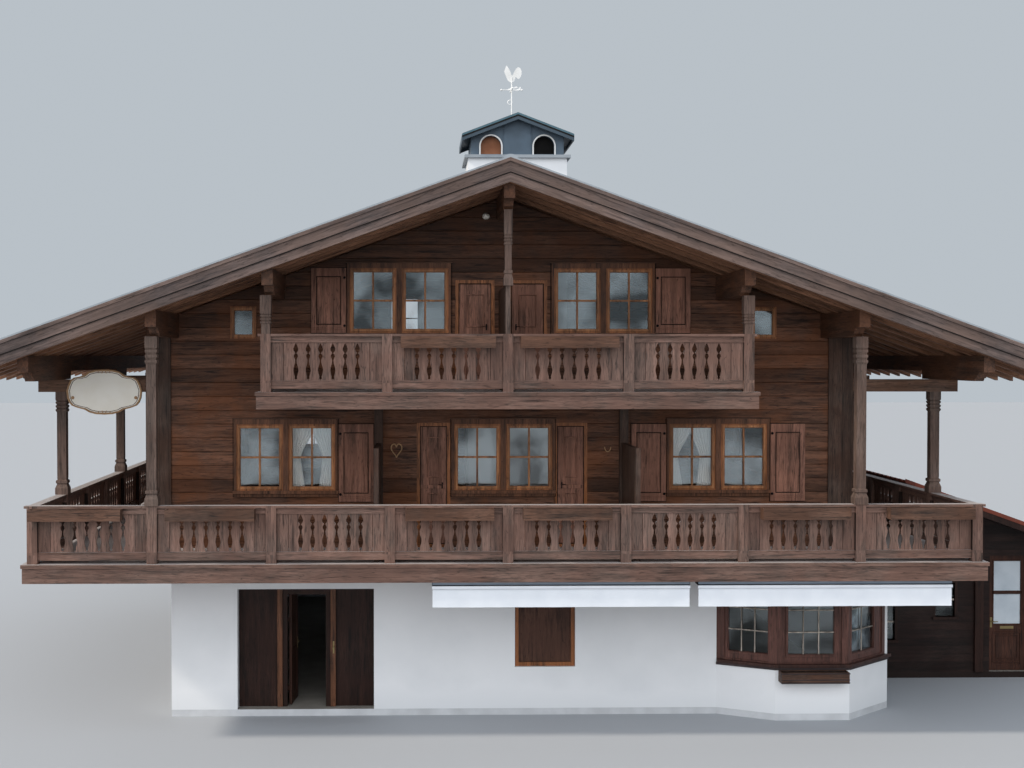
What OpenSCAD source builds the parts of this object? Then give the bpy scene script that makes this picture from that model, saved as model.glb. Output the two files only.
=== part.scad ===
// Alpine chalet: plastered ground floor with a bay window, two storeys of squared logs,
// balconies with sawn boards, a low gable roof on carved purlins, and a low timber side wing.
// Millimetres. +X runs along the front, +Y into the house, +Z up. The origin is on the ground
// at the centre of the log house.

/* [Log house] */
// Width over the side log walls
house_w = 11740; // [11600:10:11900]
// Depth over the front and rear log walls
house_d = 12000; // [11000:10:13000]
// Thickness of a log wall
log_t = 200; // [140:5:240]
// Height of one log course
log_h = 245; // [200:5:320]
// How far the log ends run past the corner
log_end = 430; // [300:5:480]
// Depth of the joint between two courses
groove_d = 12; // [6:1:20]
// Half height of the joint between two courses
groove_h = 9; // [5:1:16]
// Thickness of the boards that clad the log ends
corner_board_t = 40; // [25:1:55]

/* [Storeys] */
// Top of the ground slab
slab_z = 120; // [80:5:160]
// Top of the first floor and its balcony
first_z = 3010; // [2950:5:3080]
// Top of the upper floor and its balcony
upper_z = 5830; // [5780:5:5880]
// Thickness of a floor
floor_t = 240; // [200:5:280]

/* [Ground floor] */
// Thickness of the plastered walls
masonry_t = 300; // [250:5:340]
// Outer face of the right ground-floor wall
ground_right = 7080; // [6900:10:7200]
// Middle of the doorway
entry_x = -3485; // [-3600:5:-3400]
// Width of the entrance front
entry_w = 2430; // [2350:5:2500]
// Top of the entrance front
entry_top = 2270; // [2200:5:2350]
// How far the entrance front stands back from the plaster
entry_setback = 200; // [150:5:205]
// Clear width of the doorway
doorway_w = 690; // [650:5:760]
// Thickness of the entrance front's timbers
entry_t = 90; // [75:5:95]
// Middle of the terrace window
terrace_x = 790; // [700:5:900]
// Width of the terrace window
terrace_w = 1080; // [950:5:1200]
// Bottom of the terrace window
terrace_sill_z = 860; // [700:5:1000]
// Top of the terrace window
terrace_top_z = 2130; // [2000:5:2200]

/* [Doors that open] */
// Thickness of a door leaf
leaf_t = 45; // [38:1:50]
// Gap round a door leaf
leaf_gap = 8; // [8:1:12]
// Radius of a hinge pin
pin_r = 8; // [6:0.5:9]
// Play of a hinge knuckle on its pin
pin_play = 0.3; // [0.2:0.1:0.5]
// Height of a hinge knuckle
knuckle_h = 90; // [60:5:120]

/* [Bay window] */
// Left end of the bay on the front wall
bay_left = 3870; // [3800:10:3950]
// Left front corner of the bay
bay_front_left = 4800; // [4700:10:4850]
// Right front corner of the bay
bay_front_right = 6120; // [6050:10:6200]
// Depth of the bay in front of the wall
bay_out = 500; // [450:10:560]
// How far the bay's right end lies behind the front wall
bay_back = 370; // [340:10:400]
// Thickness of the bay's plastered parapet
parapet_t = 250; // [220:5:280]
// Top of the bay's parapet
parapet_z = 940; // [850:5:1000]
// Thickness of the bay's sill board
sill_t = 50; // [35:1:60]
// Top of the bay's windows
bay_top_z = 2330; // [2200:5:2400]

/* [Windows and upper doors] */
// Width of a window
window_w = 830; // [780:5:860]
// Distance between the middles of a pair of windows
pair_step = 925; // [915:5:950]
// Height of the first-floor sills over the floor
first_sill = 1020; // [950:5:1100]
// Height of the upper-floor sills over the floor
upper_sill = 1000; // [900:5:1050]
// Height of a first-floor window
first_window_h = 1180; // [1100:5:1250]
// Height of an upper-floor window
upper_window_h = 1150; // [1050:5:1200]
// Width of a lower balcony door
lower_door_w = 600; // [560:5:640]
// Width of an upper balcony door
upper_door_w = 700; // [660:5:740]
// Width of a shutter
shutter_w = 620; // [560:5:640]
// How far the window trim stands out from the logs
trim_t = 45; // [35:1:60]

/* [Balconies] */
// From the front wall to the middle of the railing
balcony_d = 1850; // [1750:10:1950]
// Bay of the lower front railing
lower_bay = 1950; // [1930:5:1970]
// Number of bays in the lower front railing
lower_bays = 8; // [8:2:8]
// Bay of the upper railing
upper_bay = 1990; // [1960:5:2000]
// Number of bays in the upper railing
upper_bays = 4; // [4:2:4]
// Height of a railing over its deck
rail_h = 955; // [900:5:1050]
// Section of a newel post
newel = 170; // [140:5:190]
// Depth of a deck's fascia
fascia_h = 310; // [280:5:330]
// Thickness of the deck boards
deck_t = 60; // [45:5:80]
// Thickness of one sawn board
board_t = 30; // [22:1:40]
// Height of a cut-out in the sawn boards
cut_h = 585; // [540:5:600]
// Width of a cut-out in the sawn boards
cut_w = 84; // [60:2:100]
// Thickness of a partition between two balconies
screen_t = 90; // [60:5:110]
// Clear gap between a lower partition and the shutter beside it
screen_gap = 48; // [40:2:70]

/* [Posts] */
// Section of a carved post's head block
post_w = 200; // [170:5:220]
// Distance between the posts of the side balconies
side_post_bay = 4900; // [4700:10:4950]

/* [Roof] */
// Top of the ridge
ridge_z = 9635; // [9600:5:9700]
// Fall of the roof for each unit of width
pitch = 0.36; // [0.355:0.001:0.365]
// Half width of the roof at the eaves
eave_x = 9000; // [8800:10:9200]
// How far the roof runs past the front railing's middle
verge_front = 600; // [500:10:700]
// How far the roof runs past the rear wall
verge_rear = 1200; // [1000:10:1400]
// Thickness of the covering, measured upright
cover_t = 90; // [70:5:110]
// Thickness of the boards, measured upright
roof_board_t = 35; // [25:5:50]
// Height of a rafter, measured upright
rafter_h = 290; // [250:5:310]
// Width of a rafter
rafter_w = 120; // [90:5:150]
// Height of one bargeboard, measured upright
barge_h = 168; // [150:2:176]
// Thickness of a bargeboard
barge_t = 60; // [40:5:80]

/* [Purlins] */
// Width of a purlin
purlin_w = 180; // [150:5:200]
// Height of a purlin
purlin_h = 240; // [220:5:260]
// Height of the console under a purlin
console_h = 150; // [120:5:170]
// Distance of the upper purlins from the ridge
upper_purlin = 3920; // [3880:10:3960]
// Distance of the eaves purlins from the ridge
eave_purlin = 7850; // [7800:10:7900]

/* [Chimney] */
// Middle of the chimney across the house
chimney_x = 505; // [450:5:560]
// Middle of the chimney along the house
chimney_y = -2250; // [-2400:10:-2100]
// Width of the chimney
chimney_w = 1970; // [1850:10:2050]
// Depth of the chimney
chimney_d = 1500; // [1350:10:1650]
// Top of the chimney's slab
chimney_slab_z = 10420; // [10350:10:10500]
// Height of the arched storey at its eaves
arch_storey_h = 400; // [390:5:440]
// Width of one arched opening
arch_w = 410; // [380:5:430]
// Height of the cock
cock_h = 350; // [320:5:380]
// How far the weathervane stands behind the chimney's middle
vane_back = 350; // [250:10:450]
// How far the weathervane stands to the left of the ridge
vane_left = 45; // [40:1:60]

/* [Side wing] */
// Front face of the side wing
wing_front = -3300; // [-3500:10:-3100]
// Depth of the side wing
wing_d = 4600; // [4200:10:5000]
// Outer face of the side wing
wing_right = 11600; // [11400:10:11800]
// Thickness of the side wing's timber walls
wing_t = 140; // [110:5:160]
// Middle of the side wing's doorway
wing_door_x = 10310; // [10260:10:10360]
// Clear width of the side wing's doorway
wing_door_w = 780; // [750:5:810]
// Clear height of the side wing's doorway
wing_door_top = 2440; // [2380:5:2470]

/* [Hidden] */
$fn = 32;

timber = "#5b4236";
timber_dark = "#49352d";
timber_red = "#6e4a34";
plaster = "#e9ebee";
slate = "#4a4d52";
red_tile = "#8a4f43";
glass_tint = "#6d7f86";

half_w = house_w / 2;
front_y = -house_d / 2;
rear_y = house_d / 2;
wall_x = half_w + log_end;
rail_y = front_y - balcony_d;
side_x = lower_bay * lower_bays / 2;
upper_x = upper_bay * upper_bays / 2;
verge_front_y = rail_y - verge_front;
verge_rear_y = rear_y + verge_rear;
roof_under = cover_t + roof_board_t + rafter_h;
rafter_top = cover_t + roof_board_t;
ceiling_z = first_z - floor_t;
mid_purlin = half_w - 70;

// Railing parts
cap_h = 40;
cap_w = 170;
top_board_h = 100;
top_board_t = 70;
bottom_rail_h = 135;
bottom_rail_t = 80;
bottom_gap = 55;
slit_w = 8;
cap_end = 45;
fascia_t = 60;
fascia_lip = 25;
fascia_back = 20;
joist_w = 150;
lower_rail_z = first_z + rail_h;
upper_rail_z = upper_z + rail_h;
deck_edge_y = rail_y - newel / 2 - fascia_lip - fascia_t;
deck_edge_x = side_x + newel / 2 + fascia_lip + fascia_t;
upper_edge_x = upper_x + newel / 2 + fascia_lip + fascia_t;
first_post_y = front_y + log_t / 2;
side_posts_y = [for (i = [0:2]) first_post_y + i * side_post_bay];
last_newel_y = rear_y - newel / 2;
side_newels = concat([first_post_y],
    [for (i = [0:1], k = [1:3]) first_post_y + (i + k / 3) * side_post_bay], [last_newel_y]);

// Windows and doors
frame_bar = 70;
frame_t = 90;
frame_proud = 25;
glass_t = 24;
glass_back = 35;
panel_t = 40;
door_t = 60;

function roof_z(x) = ridge_z - pitch * abs(x);
function under_z(x) = roof_z(x) - roof_under;

// Openings of the log walls: middle, width, bottom, top
first_z0 = first_z + first_sill;
first_z1 = first_z0 + first_window_h;
upper_z0 = upper_z + upper_sill;
upper_z1 = upper_z0 + upper_window_h;
function pair(x, z0, z1) = [for (s = [-0.5, 0.5]) [x + s * pair_step, window_w, z0, z1]];
left_pair_x = -0.6525 * half_w;
middle_pair_x = 0.006 * half_w;
right_pair_x = 0.6615 * half_w;
upper_pair_x = 0.3095 * half_w;
small_window_left = -0.7796 * half_w;
small_window_right = 0.799 * half_w;
left_door_x = -0.2053 * half_w;
right_door_x = 0.2112 * half_w;
upper_door_x = 0.08 * half_w;
pair_half = (pair_step + window_w) / 2;
trim_side = 40;
trim_gap = 1;
first_pairs = [left_pair_x, middle_pair_x, right_pair_x];
upper_pairs = [-upper_pair_x, upper_pair_x];
small_w = 0.554 * window_w;
small_z = [upper_z + 0.9 * upper_sill, upper_z + 1.47 * upper_sill];
small_windows = [for (x = [small_window_left, small_window_right]) [x, small_w, small_z[0], small_z[1]]];
front_pairs = concat([for (x = first_pairs) each pair(x, first_z0, first_z1)],
    [for (x = upper_pairs) each pair(x, upper_z0, upper_z1)]);
front_windows = concat(front_pairs, small_windows);
lower_doors = [for (x = [left_door_x, right_door_x]) [x, lower_door_w, first_z, first_z1 + 20]];
upper_doors = [for (x = [-upper_door_x, upper_door_x]) [x, upper_door_w, upper_z, upper_z1 - 210]];
front_doors = concat(lower_doors, upper_doors);
rear_windows = concat(
    [for (x = [-0.7155, -0.2555, 0.2555, 0.7155]) [x * half_w, window_w, first_z0, first_z1]],
    [for (x = upper_pairs) [x, window_w, upper_z0, upper_z1]]);
side_windows = [for (y = [-0.575, 0.035, 0.575]) [y * rear_y, window_w, first_z0, first_z1]];
shutter_step = trim_side + 20 + shutter_w / 2;
low_shutter_z = first_z0 - 200;
front_shutters = concat(
    [for (x = [left_pair_x + pair_half + shutter_step, right_pair_x - pair_half - shutter_step,
        right_pair_x + pair_half + shutter_step]) [x, shutter_w, low_shutter_z, first_z1]],
    [for (s = [-1, 1]) [s * (upper_pair_x + pair_half + shutter_step), shutter_w, upper_z0, upper_z1]]);
ground_rear_windows = [for (x = [-0.68, 0, 0.68]) [x * half_w, 1000, terrace_sill_z + 140, terrace_top_z]];
ground_side_windows = [for (y = [-0.415, 0.415]) [y * rear_y, 1000, terrace_sill_z + 140, terrace_top_z]];
terrace_window = [terrace_x, terrace_w, terrace_sill_z, terrace_top_z];
wing_window_left = [0.669 * wing_right, 520, 760, 1480];
wing_window_right = [0.7785 * wing_right, 380, 1220, 1900];
wing_windows = [wing_window_left, wing_window_right];

// Plate with an outline in X and Z, from y0 to y0 + t
module plate_xz(y0, t) {
    translate([0, y0 + t, 0]) rotate([90, 0, 0]) linear_extrude(t) children();
}

// Bar with an outline in Y and Z, from x0 to x0 + len
module bar_x(x0, len) {
    translate([x0, 0, 0]) rotate([90, 0, 90]) linear_extrude(len) children();
}

// Box between two corners
module box(a, b) {
    translate(a) cube([b[0] - a[0], b[1] - a[1], b[2] - a[2]]);
}

module both_sides() {
    children();
    mirror([1, 0, 0]) children();
}

// Holes for a list of openings, in X and Z
module hole_outlines(list) {
    for (o = list) translate([o[0] - o[1] / 2, o[2]]) square([o[1], o[3] - o[2]]);
}

// Turns a plate that faces -Y so that it faces +Y on the rear wall
module to_rear() {
    rotate([0, 0, 180]) children();
}

// Ring round an opening, with its bars
module frame_ring(o, y0, t, bar) {
    plate_xz(y0, t) difference() {
        hole_outlines([o]);
        translate([o[0] - o[1] / 2 + bar, o[2] + bar])
            square([o[1] - 2 * bar, o[3] - o[2] - 2 * bar]);
    }
}

// Pane that fills such a ring
module pane(o, y0, t, bar) {
    plate_xz(y0, t) translate([o[0] - o[1] / 2 + bar, o[2] + bar])
        square([o[1] - 2 * bar, o[3] - o[2] - 2 * bar]);
}

// Corner points of the bay window on its outer face
bay_outer = [[bay_left, front_y], [bay_front_left, front_y - bay_out],
    [bay_front_right, front_y - bay_out], [ground_right, front_y + bay_back]];

// Inward normal of the bay's side i
function bay_dir(i) = let (d = bay_outer[i + 1] - bay_outer[i]) d / norm(d);
function bay_normal(i) = [-bay_dir(i)[1], bay_dir(i)[0]];

// Glazed opening of the bay's side i: from start to end along the side, and its bottom
bay_margins = [[200, 140], [240, 260], [120, 420]];
bay_glass_z = parapet_z + sill_t + 165;
bay_frame_in = 30;
module bay_opening(i, in, depth) {
    a = bay_outer[i];
    len = norm(bay_outer[i + 1] - a);
    translate([a[0], a[1], 0]) rotate([0, 0, atan2(bay_dir(i)[1], bay_dir(i)[0])])
        box([bay_margins[i][0], in, bay_glass_z], [len - bay_margins[i][1], in + depth, bay_top_z]);
}

// Outline of the bay moved inwards by t: the ends slide along the walls that they meet
function bay_inset(t) = let (n0 = bay_normal(0), n1 = bay_normal(1), n2 = bay_normal(2))
    [[bay_left, front_y + t / n0[1]],
    bay_outer[1] + (n0 + n1) * t / (1 + n0 * n1),
    bay_outer[2] + (n1 + n2) * t / (1 + n1 * n2),
    [ground_right + t / n2[0], front_y + bay_back]];

// Strip of the bay between two insets
module bay_strip(t0, t1, z0, z1) {
    inner = bay_inset(t1);
    translate([0, 0, z0]) linear_extrude(z1 - z0)
        polygon(concat(bay_inset(t0), [for (i = [3:-1:0]) inner[i]]));
}

module ground_slab() {
    color("#b9b6b0") linear_extrude(slab_z) polygon(concat([[-half_w, front_y]], bay_outer,
        [[ground_right, wing_front], [wing_right, wing_front], [wing_right, wing_front + wing_d],
        [ground_right, wing_front + wing_d], [ground_right, rear_y], [-half_w, rear_y]]));
}

// The plastered front left and right of the entrance, with the terrace window cut through
module ground_front_wall() {
    entry_left = entry_x - entry_w / 2;
    entry_right = entry_x + entry_w / 2;
    color(plaster) {
        box([-half_w, front_y, slab_z], [entry_left, front_y + masonry_t, ceiling_z]);
        plate_xz(front_y, masonry_t) difference() {
            translate([entry_right, slab_z]) square([bay_left - entry_right, ceiling_z - slab_z]);
            hole_outlines([terrace_window]);
        }
    }
}

module entrance_lintel() {
    color(plaster) box([entry_x - entry_w / 2, front_y, entry_top],
        [entry_x + entry_w / 2, front_y + masonry_t, ceiling_z]);
}

module ground_side_walls() {
    color(plaster) {
        difference() {
            box([-half_w, front_y + masonry_t, slab_z],
                [-half_w + masonry_t, rear_y - masonry_t, ceiling_z]);
            for (w = ground_side_windows) box([-half_w - 1, w[0] - w[1] / 2, w[2]],
                [-half_w + masonry_t + 1, w[0] + w[1] / 2, w[3]]);
        }
        box([ground_right - masonry_t, front_y + bay_back, slab_z],
            [ground_right, rear_y - masonry_t, ceiling_z]);
    }
}

module ground_rear_wall() {
    color(plaster) plate_xz(rear_y - masonry_t, masonry_t) difference() {
        translate([-half_w, slab_z]) square([half_w + ground_right, ceiling_z - slab_z]);
        hole_outlines(ground_rear_windows);
    }
}

// Plastered parapet of the bay
module bay_parapet() {
    color(plaster) bay_strip(0, parapet_t, slab_z, parapet_z);
}

// Timber front of the bay: sill board, corner posts with window openings, and a boarded head.
// Between the corner posts the front lies back by a step
module bay_frame() {
    sill_out = 50;
    frame_depth = 110;
    post = 130;
    step = 22;
    sill_z = parapet_z + sill_t;
    color(timber_red) {
        bay_strip(-sill_out, parapet_t, parapet_z, sill_z);
        difference() {
            bay_strip(bay_frame_in, bay_frame_in + frame_depth, sill_z, ceiling_z);
            for (i = [0:2]) {
                a = bay_outer[i];
                len = norm(bay_outer[i + 1] - a);
                bay_opening(i, -10, 2 * frame_depth);
                translate([a[0], a[1], 0]) rotate([0, 0, atan2(bay_dir(i)[1], bay_dir(i)[0])])
                    box([post, -10, sill_z + 30], [len - post, bay_frame_in + step, bay_top_z + 60]);
            }
        }
    }
}

// Fixed timber front of the entrance: posts, head and boarded panels beside the doorway
module entrance_front() {
    y0 = front_y + entry_setback;
    post = 180;
    head = 130;
    panel_in = 25;
    half = doorway_w / 2;
    inner = entry_w / 2;
    top = entry_top;
    color(timber_dark) translate([entry_x, 0, 0]) {
        for (s = [-1, 1]) {
            outer = [min(s * half, s * (half + post)), max(s * half, s * (half + post))];
            box([outer[0], y0, slab_z], [outer[1], y0 + entry_t, top]);
            p = [min(s * (half + post), s * inner), max(s * (half + post), s * inner)];
            box([p[0], y0 + panel_in, slab_z], [p[1], y0 + entry_t, top]);
        }
        box([-half, y0, top - head], [half, y0 + entry_t, top]);
    }
    color("#4b4b4b") for (z = hinge_levels(slab_z))
        translate([hinge_axis(entry_x, doorway_w)[0], hinge_axis_y(y0 + entry_t), z])
            hinge_pintle(1);
}

// Hinges: the axis stands in the gap beside the jamb, behind the frame's inner face
hinge_back = 20;
strap_t = 8;
strap_len = 260;
arm_h = 14;
function hinge_axis_y(inner_face) = inner_face + hinge_back;
function hinge_axis(middle, width) = [middle - width / 2 + leaf_gap / 2, 0];
function hinge_levels(base) = [base + 260, base + 1500];

// Arm and pin on the frame; side is 1 where the jamb is on the left and -1 where it is on the right
module hinge_pintle(side) {
    arm_r = pin_r + 4;
    jamb = leaf_gap / 2;
    cylinder(h = arm_h, r = arm_r);
    cylinder(h = arm_h + knuckle_h, r = pin_r);
    x = [min(-side * 60, -side * (jamb + 1)), max(-side * 60, -side * (jamb + 1))];
    box([x[0], -hinge_back, 0], [x[1], arm_r, arm_h]);
    box([min(0, -side * (jamb + 1)), -pin_r, 0], [max(0, -side * (jamb + 1)), pin_r, arm_h]);
}

// Knuckle and strap on the leaf, for a leaf that lies along +X with its face at -hinge_back
module hinge_strap() {
    difference() {
        union() {
            translate([0, 0, arm_h + pin_play]) cylinder(h = knuckle_h - 20, r = pin_r + 6);
            box([0, -hinge_back, arm_h + pin_play], [strap_len, -hinge_back + strap_t,
                arm_h + pin_play + knuckle_h - 20]);
        }
        translate([0, 0, arm_h - 5]) cylinder(h = knuckle_h + 20, r = pin_r + pin_play);
    }
}

// Share of a glazed leaf's height that lies below its light
light_sill = 0.38;

// Door leaf in its closed place, from its hinge axis along +X: two panels, or a light over a panel
module leaf_panel(width, bottom, top, light) {
    stile = 110;
    recess = 12;
    w = width - 2 * leaf_gap;
    x0 = leaf_gap / 2;
    h = top - bottom - 2 * leaf_gap;
    middle = light ? light_sill * h : 0.46 * h;
    translate([x0, -hinge_back - leaf_t, bottom + leaf_gap]) difference() {
        cube([w, leaf_t, h]);
        if (light) translate([stile, -1, middle + stile / 2])
            cube([w - 2 * stile, leaf_t + 2, h - stile * 1.5 - middle]);
        for (p = [[stile, middle - stile / 2], [middle + stile / 2, h - stile]], y = [-1, leaf_t - recess])
            translate([stile, y, p[0]]) cube([w - 2 * stile, recess + 1, p[1] - p[0]]);
    }
}

module entrance_door() {
    open_angle = 85;
    top = entry_top - 130;
    axis = hinge_axis(entry_x, doorway_w);
    translate([axis[0], hinge_axis_y(front_y + entry_setback + entry_t), 0]) rotate([0, 0, open_angle]) {
        color(timber_dark) leaf_panel(doorway_w, slab_z, top, false);
        color("#4b4b4b") for (z = hinge_levels(slab_z)) translate([0, 0, z]) hinge_strap();
        color("#a58b54") translate([doorway_w - 80, -hinge_back - leaf_t / 2, slab_z + 1050])
            rotate([90, 0, 0]) cylinder(h = leaf_t + 90, r = 9, center = true);
    }
}

module chimney_shaft(z0, z1, play) {
    box([chimney_x - chimney_w / 2 - play, chimney_y - chimney_d / 2 - play, z0],
        [chimney_x + chimney_w / 2 + play, chimney_y + chimney_d / 2 + play, z1]);
}

module first_floor() {
    color("#a99b88") difference() {
        translate([0, 0, ceiling_z]) linear_extrude(floor_t) polygon([[-half_w, front_y],
            [half_w, front_y], [half_w, front_y + bay_back], [ground_right, front_y + bay_back],
            [ground_right, rear_y], [-half_w, rear_y]]);
        chimney_shaft(ceiling_z - 1, first_z + 1, 0);
    }
}

module upper_floor() {
    color("#a98a63") difference() {
        box([-half_w + log_t, front_y + log_t, upper_z - floor_t],
            [half_w - log_t, rear_y - log_t, upper_z]);
        chimney_shaft(upper_z - floor_t - 1, upper_z + 1, 0);
    }
}

// Section of a log wall from z0 to z1, with a joint between each two courses, x from 0 to log_t
module log_section(z0, z1) {
    courses = ceil((z1 - z0) / log_h);
    joints = [for (i = [1:courses - 1]) z0 + i * log_h];
    polygon(concat(
        [[0, z0]],
        [for (z = joints, k = [-1:1]) [k == 0 ? groove_d : 0, z + k * groove_h]],
        [[0, z1], [log_t, z1]],
        [for (i = [courses - 2:-1:0], k = [1:-1:-1])
            [k == 0 ? log_t - groove_d : log_t, joints[i] + k * groove_h]],
        [[log_t, z0]]));
}

module gable_outline() {
    polygon([[-wall_x, first_z], [wall_x, first_z], [wall_x, under_z(wall_x)], [0, under_z(0)],
        [-wall_x, under_z(wall_x)]]);
}

// Gable wall with its outer face at -Y, from front_y back by log_t
module gable_wall(openings) {
    difference() {
        intersection() {
            translate([0, front_y, 0]) bar_x(-wall_x, 2 * wall_x) log_section(first_z, under_z(0) + 100);
            plate_xz(front_y - 1, log_t + 2) difference() {
                gable_outline();
                hole_outlines(openings);
            }
        }
        purlin_beams();
    }
}

module front_log_wall() {
    color(timber) gable_wall(concat(front_windows, front_doors));
}

module rear_log_wall() {
    color(timber) to_rear() gable_wall(rear_windows);
}

module side_log_walls() {
    top = purlin_bottom(mid_purlin);
    color(timber) both_sides() difference() {
        translate([half_w - log_t, front_y + log_t, 0]) mirror([0, 1, 0]) rotate([90, 0, 0])
            linear_extrude(house_d - 2 * log_t) log_section(first_z, top);
        for (w = side_windows) box([half_w - log_t - 1, w[0] - w[1] / 2, w[2]],
            [half_w + 1, w[0] + w[1] / 2, w[3]]);
    }
}

// Upright boards over the ends of the logs
module corner_boards() {
    top = purlin_bottom(mid_purlin) - console_h;
    color(timber_dark) for (y = [front_y - corner_board_t, rear_y]) both_sides()
        box([half_w - 10, y, first_z], [wall_x, y + corner_board_t, top]);
}

// Deck boards on joists, with a fascia along the outer edge
module lower_deck() {
    bottom = first_z - deck_t;
    joists = [for (i = [-lower_bays / 2:lower_bays / 2]) i * lower_bay];
    inner = deck_edge_y + fascia_t;
    side_in = deck_edge_x - fascia_t;
    color(timber) {
        box([-deck_edge_x, deck_edge_y, bottom], [deck_edge_x, front_y, first_z]);
        box([-deck_edge_x, front_y, bottom], [-half_w, rear_y, first_z]);
        difference() {
            box([half_w, front_y, bottom], [deck_edge_x, rear_y, first_z]);
            box([half_w - 1, front_y + bay_back, bottom - 1], [ground_right, rear_y + 1, first_z + 1]);
        }
        box([-deck_edge_x + fascia_back, deck_edge_y + fascia_back, first_z - fascia_h],
            [deck_edge_x - fascia_back, inner, bottom + 1]);
        for (s = [-1, 1]) box([s > 0 ? side_in : -deck_edge_x + fascia_back, inner - 1, first_z - fascia_h],
            [s > 0 ? deck_edge_x - fascia_back : -side_in, rear_y, bottom + 1]);
        for (x = joists) if (abs(x) < side_in - joist_w)
            box([x - joist_w / 2, inner, ceiling_z], [x + joist_w / 2, front_y, bottom + 1]);
        for (y = side_newels) {
            box([-side_in, y - joist_w / 2, ceiling_z], [-half_w, y + joist_w / 2, bottom + 1]);
            box([y > front_y + bay_back + joist_w ? ground_right : half_w, y - joist_w / 2, ceiling_z],
                [side_in, y + joist_w / 2, bottom + 1]);
        }
    }
}

// Half of a cut-out between two sawn boards, from its top: depth and half width, as shares. Each
// board is sawn like a flat baluster: a bead, a collar and a long belly
cut_profile = [[0, 0.2], [0.07, 0.6], [0.14, 1], [0.2, 0.9], [0.25, 0.35], [0.28, 0.25], [0.31, 0.7],
    [0.36, 0.85], [0.42, 0.45], [0.47, 0.25], [0.56, 0.4], [0.68, 0.9], [0.76, 1], [0.85, 0.75],
    [0.93, 0.4], [0.97, 0.55], [1, 0.3]];

module board_cut() {
    half = [for (p = cut_profile) [p[1] * cut_w / 2, -p[0] * cut_h]];
    polygon(concat(half, [for (i = [len(half) - 1:-1:0]) [-half[i][0], half[i][1]]]));
}

// Sawn boards between two newels, from u0 to u1 along the rail: slits at the two outer joints.
// in says how far the boards reach into the newels at the two ends
module board_panel(u0, u1, base, in) {
    boards = round((u1 - u0) / 205);
    pitch_u = (u1 - u0) / boards;
    z0 = base + bottom_gap + bottom_rail_h - 10;
    z1 = base + rail_h - cap_h - top_board_h + 10;
    cut_top = (z0 + z1) / 2 + cut_h / 2;
    translate([0, board_t / 2, 0]) rotate([90, 0, 0]) linear_extrude(board_t) difference() {
        translate([u0 - in[0], z0]) square([u1 - u0 + in[0] + in[1], z1 - z0]);
        for (i = [1:boards - 1]) translate([u0 + i * pitch_u, cut_top])
            if (i == 1 || i == boards - 1) translate([-slit_w / 2, -cut_h]) square([slit_w, cut_h]);
            else board_cut();
    }
}

// Railing along +X through newels at the places u; ends says which end newels are drawn
module railing(u, base, ends) {
    n = len(u) - 1;
    half = newel / 2;
    top = base + rail_h;
    for (i = [0:n]) if (i > 0 && i < n || i == 0 && ends[0] || i == n && ends[1])
        box([u[i] - half, -half, base], [u[i] + half, half, top - cap_h + 1]);
    cap0 = ends[0] ? u[0] - half - cap_end : u[0] + cap_w / 2;
    cap1 = ends[1] ? u[n] + half + cap_end : u[n] - cap_w / 2;
    box([cap0, -cap_w / 2, top - cap_h], [cap1, cap_w / 2, top]);
    for (i = [0:n - 1]) {
        a = u[i] + half;
        b = u[i + 1] - half;
        in = [i > 0 || ends[0] ? 1 : 0, i < n - 1 || ends[1] ? 1 : 0];
        box([a - in[0], -top_board_t / 2, top - cap_h - top_board_h],
            [b + in[1], top_board_t / 2, top - cap_h + 1]);
        box([a - in[0], -bottom_rail_t / 2, base + bottom_gap],
            [b + in[1], bottom_rail_t / 2, base + bottom_gap + bottom_rail_h]);
        board_panel(a, b, base, in);
    }
}

module lower_front_railing() {
    color(timber) translate([0, rail_y, 0])
        railing([for (i = [-lower_bays / 2:lower_bays / 2]) i * lower_bay], first_z, [true, true]);
}

// Side railings run back from the corner newels to the rear, and close with a short return
module lower_side_railings() {
    color(timber) for (s = [-1, 1]) {
        translate([s * side_x, 0, 0]) rotate([0, 0, 90])
            railing(concat([rail_y], side_newels), first_z, [false, true]);
        u = [half_w + log_end - newel / 2, side_x];
        translate([0, last_newel_y, 0])
            railing(s > 0 ? u : [-u[1], -u[0]], first_z, [false, false]);
    }
}

module upper_deck() {
    bottom = upper_z - deck_t;
    fascia_z = upper_z - fascia_h + 30;
    inner = deck_edge_y + fascia_t;
    color(timber) {
        box([-upper_edge_x, deck_edge_y, bottom], [upper_edge_x, front_y, upper_z]);
        box([-upper_edge_x + fascia_back, deck_edge_y + fascia_back, fascia_z],
            [upper_edge_x - fascia_back, inner, bottom + 1]);
        for (s = [-1, 1]) box([s > 0 ? upper_edge_x - fascia_t : -upper_edge_x + fascia_back, inner - 1,
            fascia_z], [s > 0 ? upper_edge_x - fascia_back : -upper_edge_x + fascia_t, front_y, bottom + 1]);
        for (i = [-upper_bays / 2:upper_bays / 2]) box([i * upper_bay - joist_w / 2, inner - 1,
            upper_z - floor_t], [i * upper_bay + joist_w / 2, front_y, bottom + 1]);
    }
}

module upper_railing() {
    color(timber) {
        translate([0, rail_y, 0])
            railing([for (i = [-upper_bays / 2:upper_bays / 2]) i * upper_bay], upper_z, [true, true]);
        for (s = [-1, 1]) translate([s * upper_x, 0, 0]) rotate([0, 0, 90])
            railing([rail_y, front_y + newel / 2], upper_z, [false, false]);
    }
}

partition_top = upper_rail_z + 795;
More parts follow.
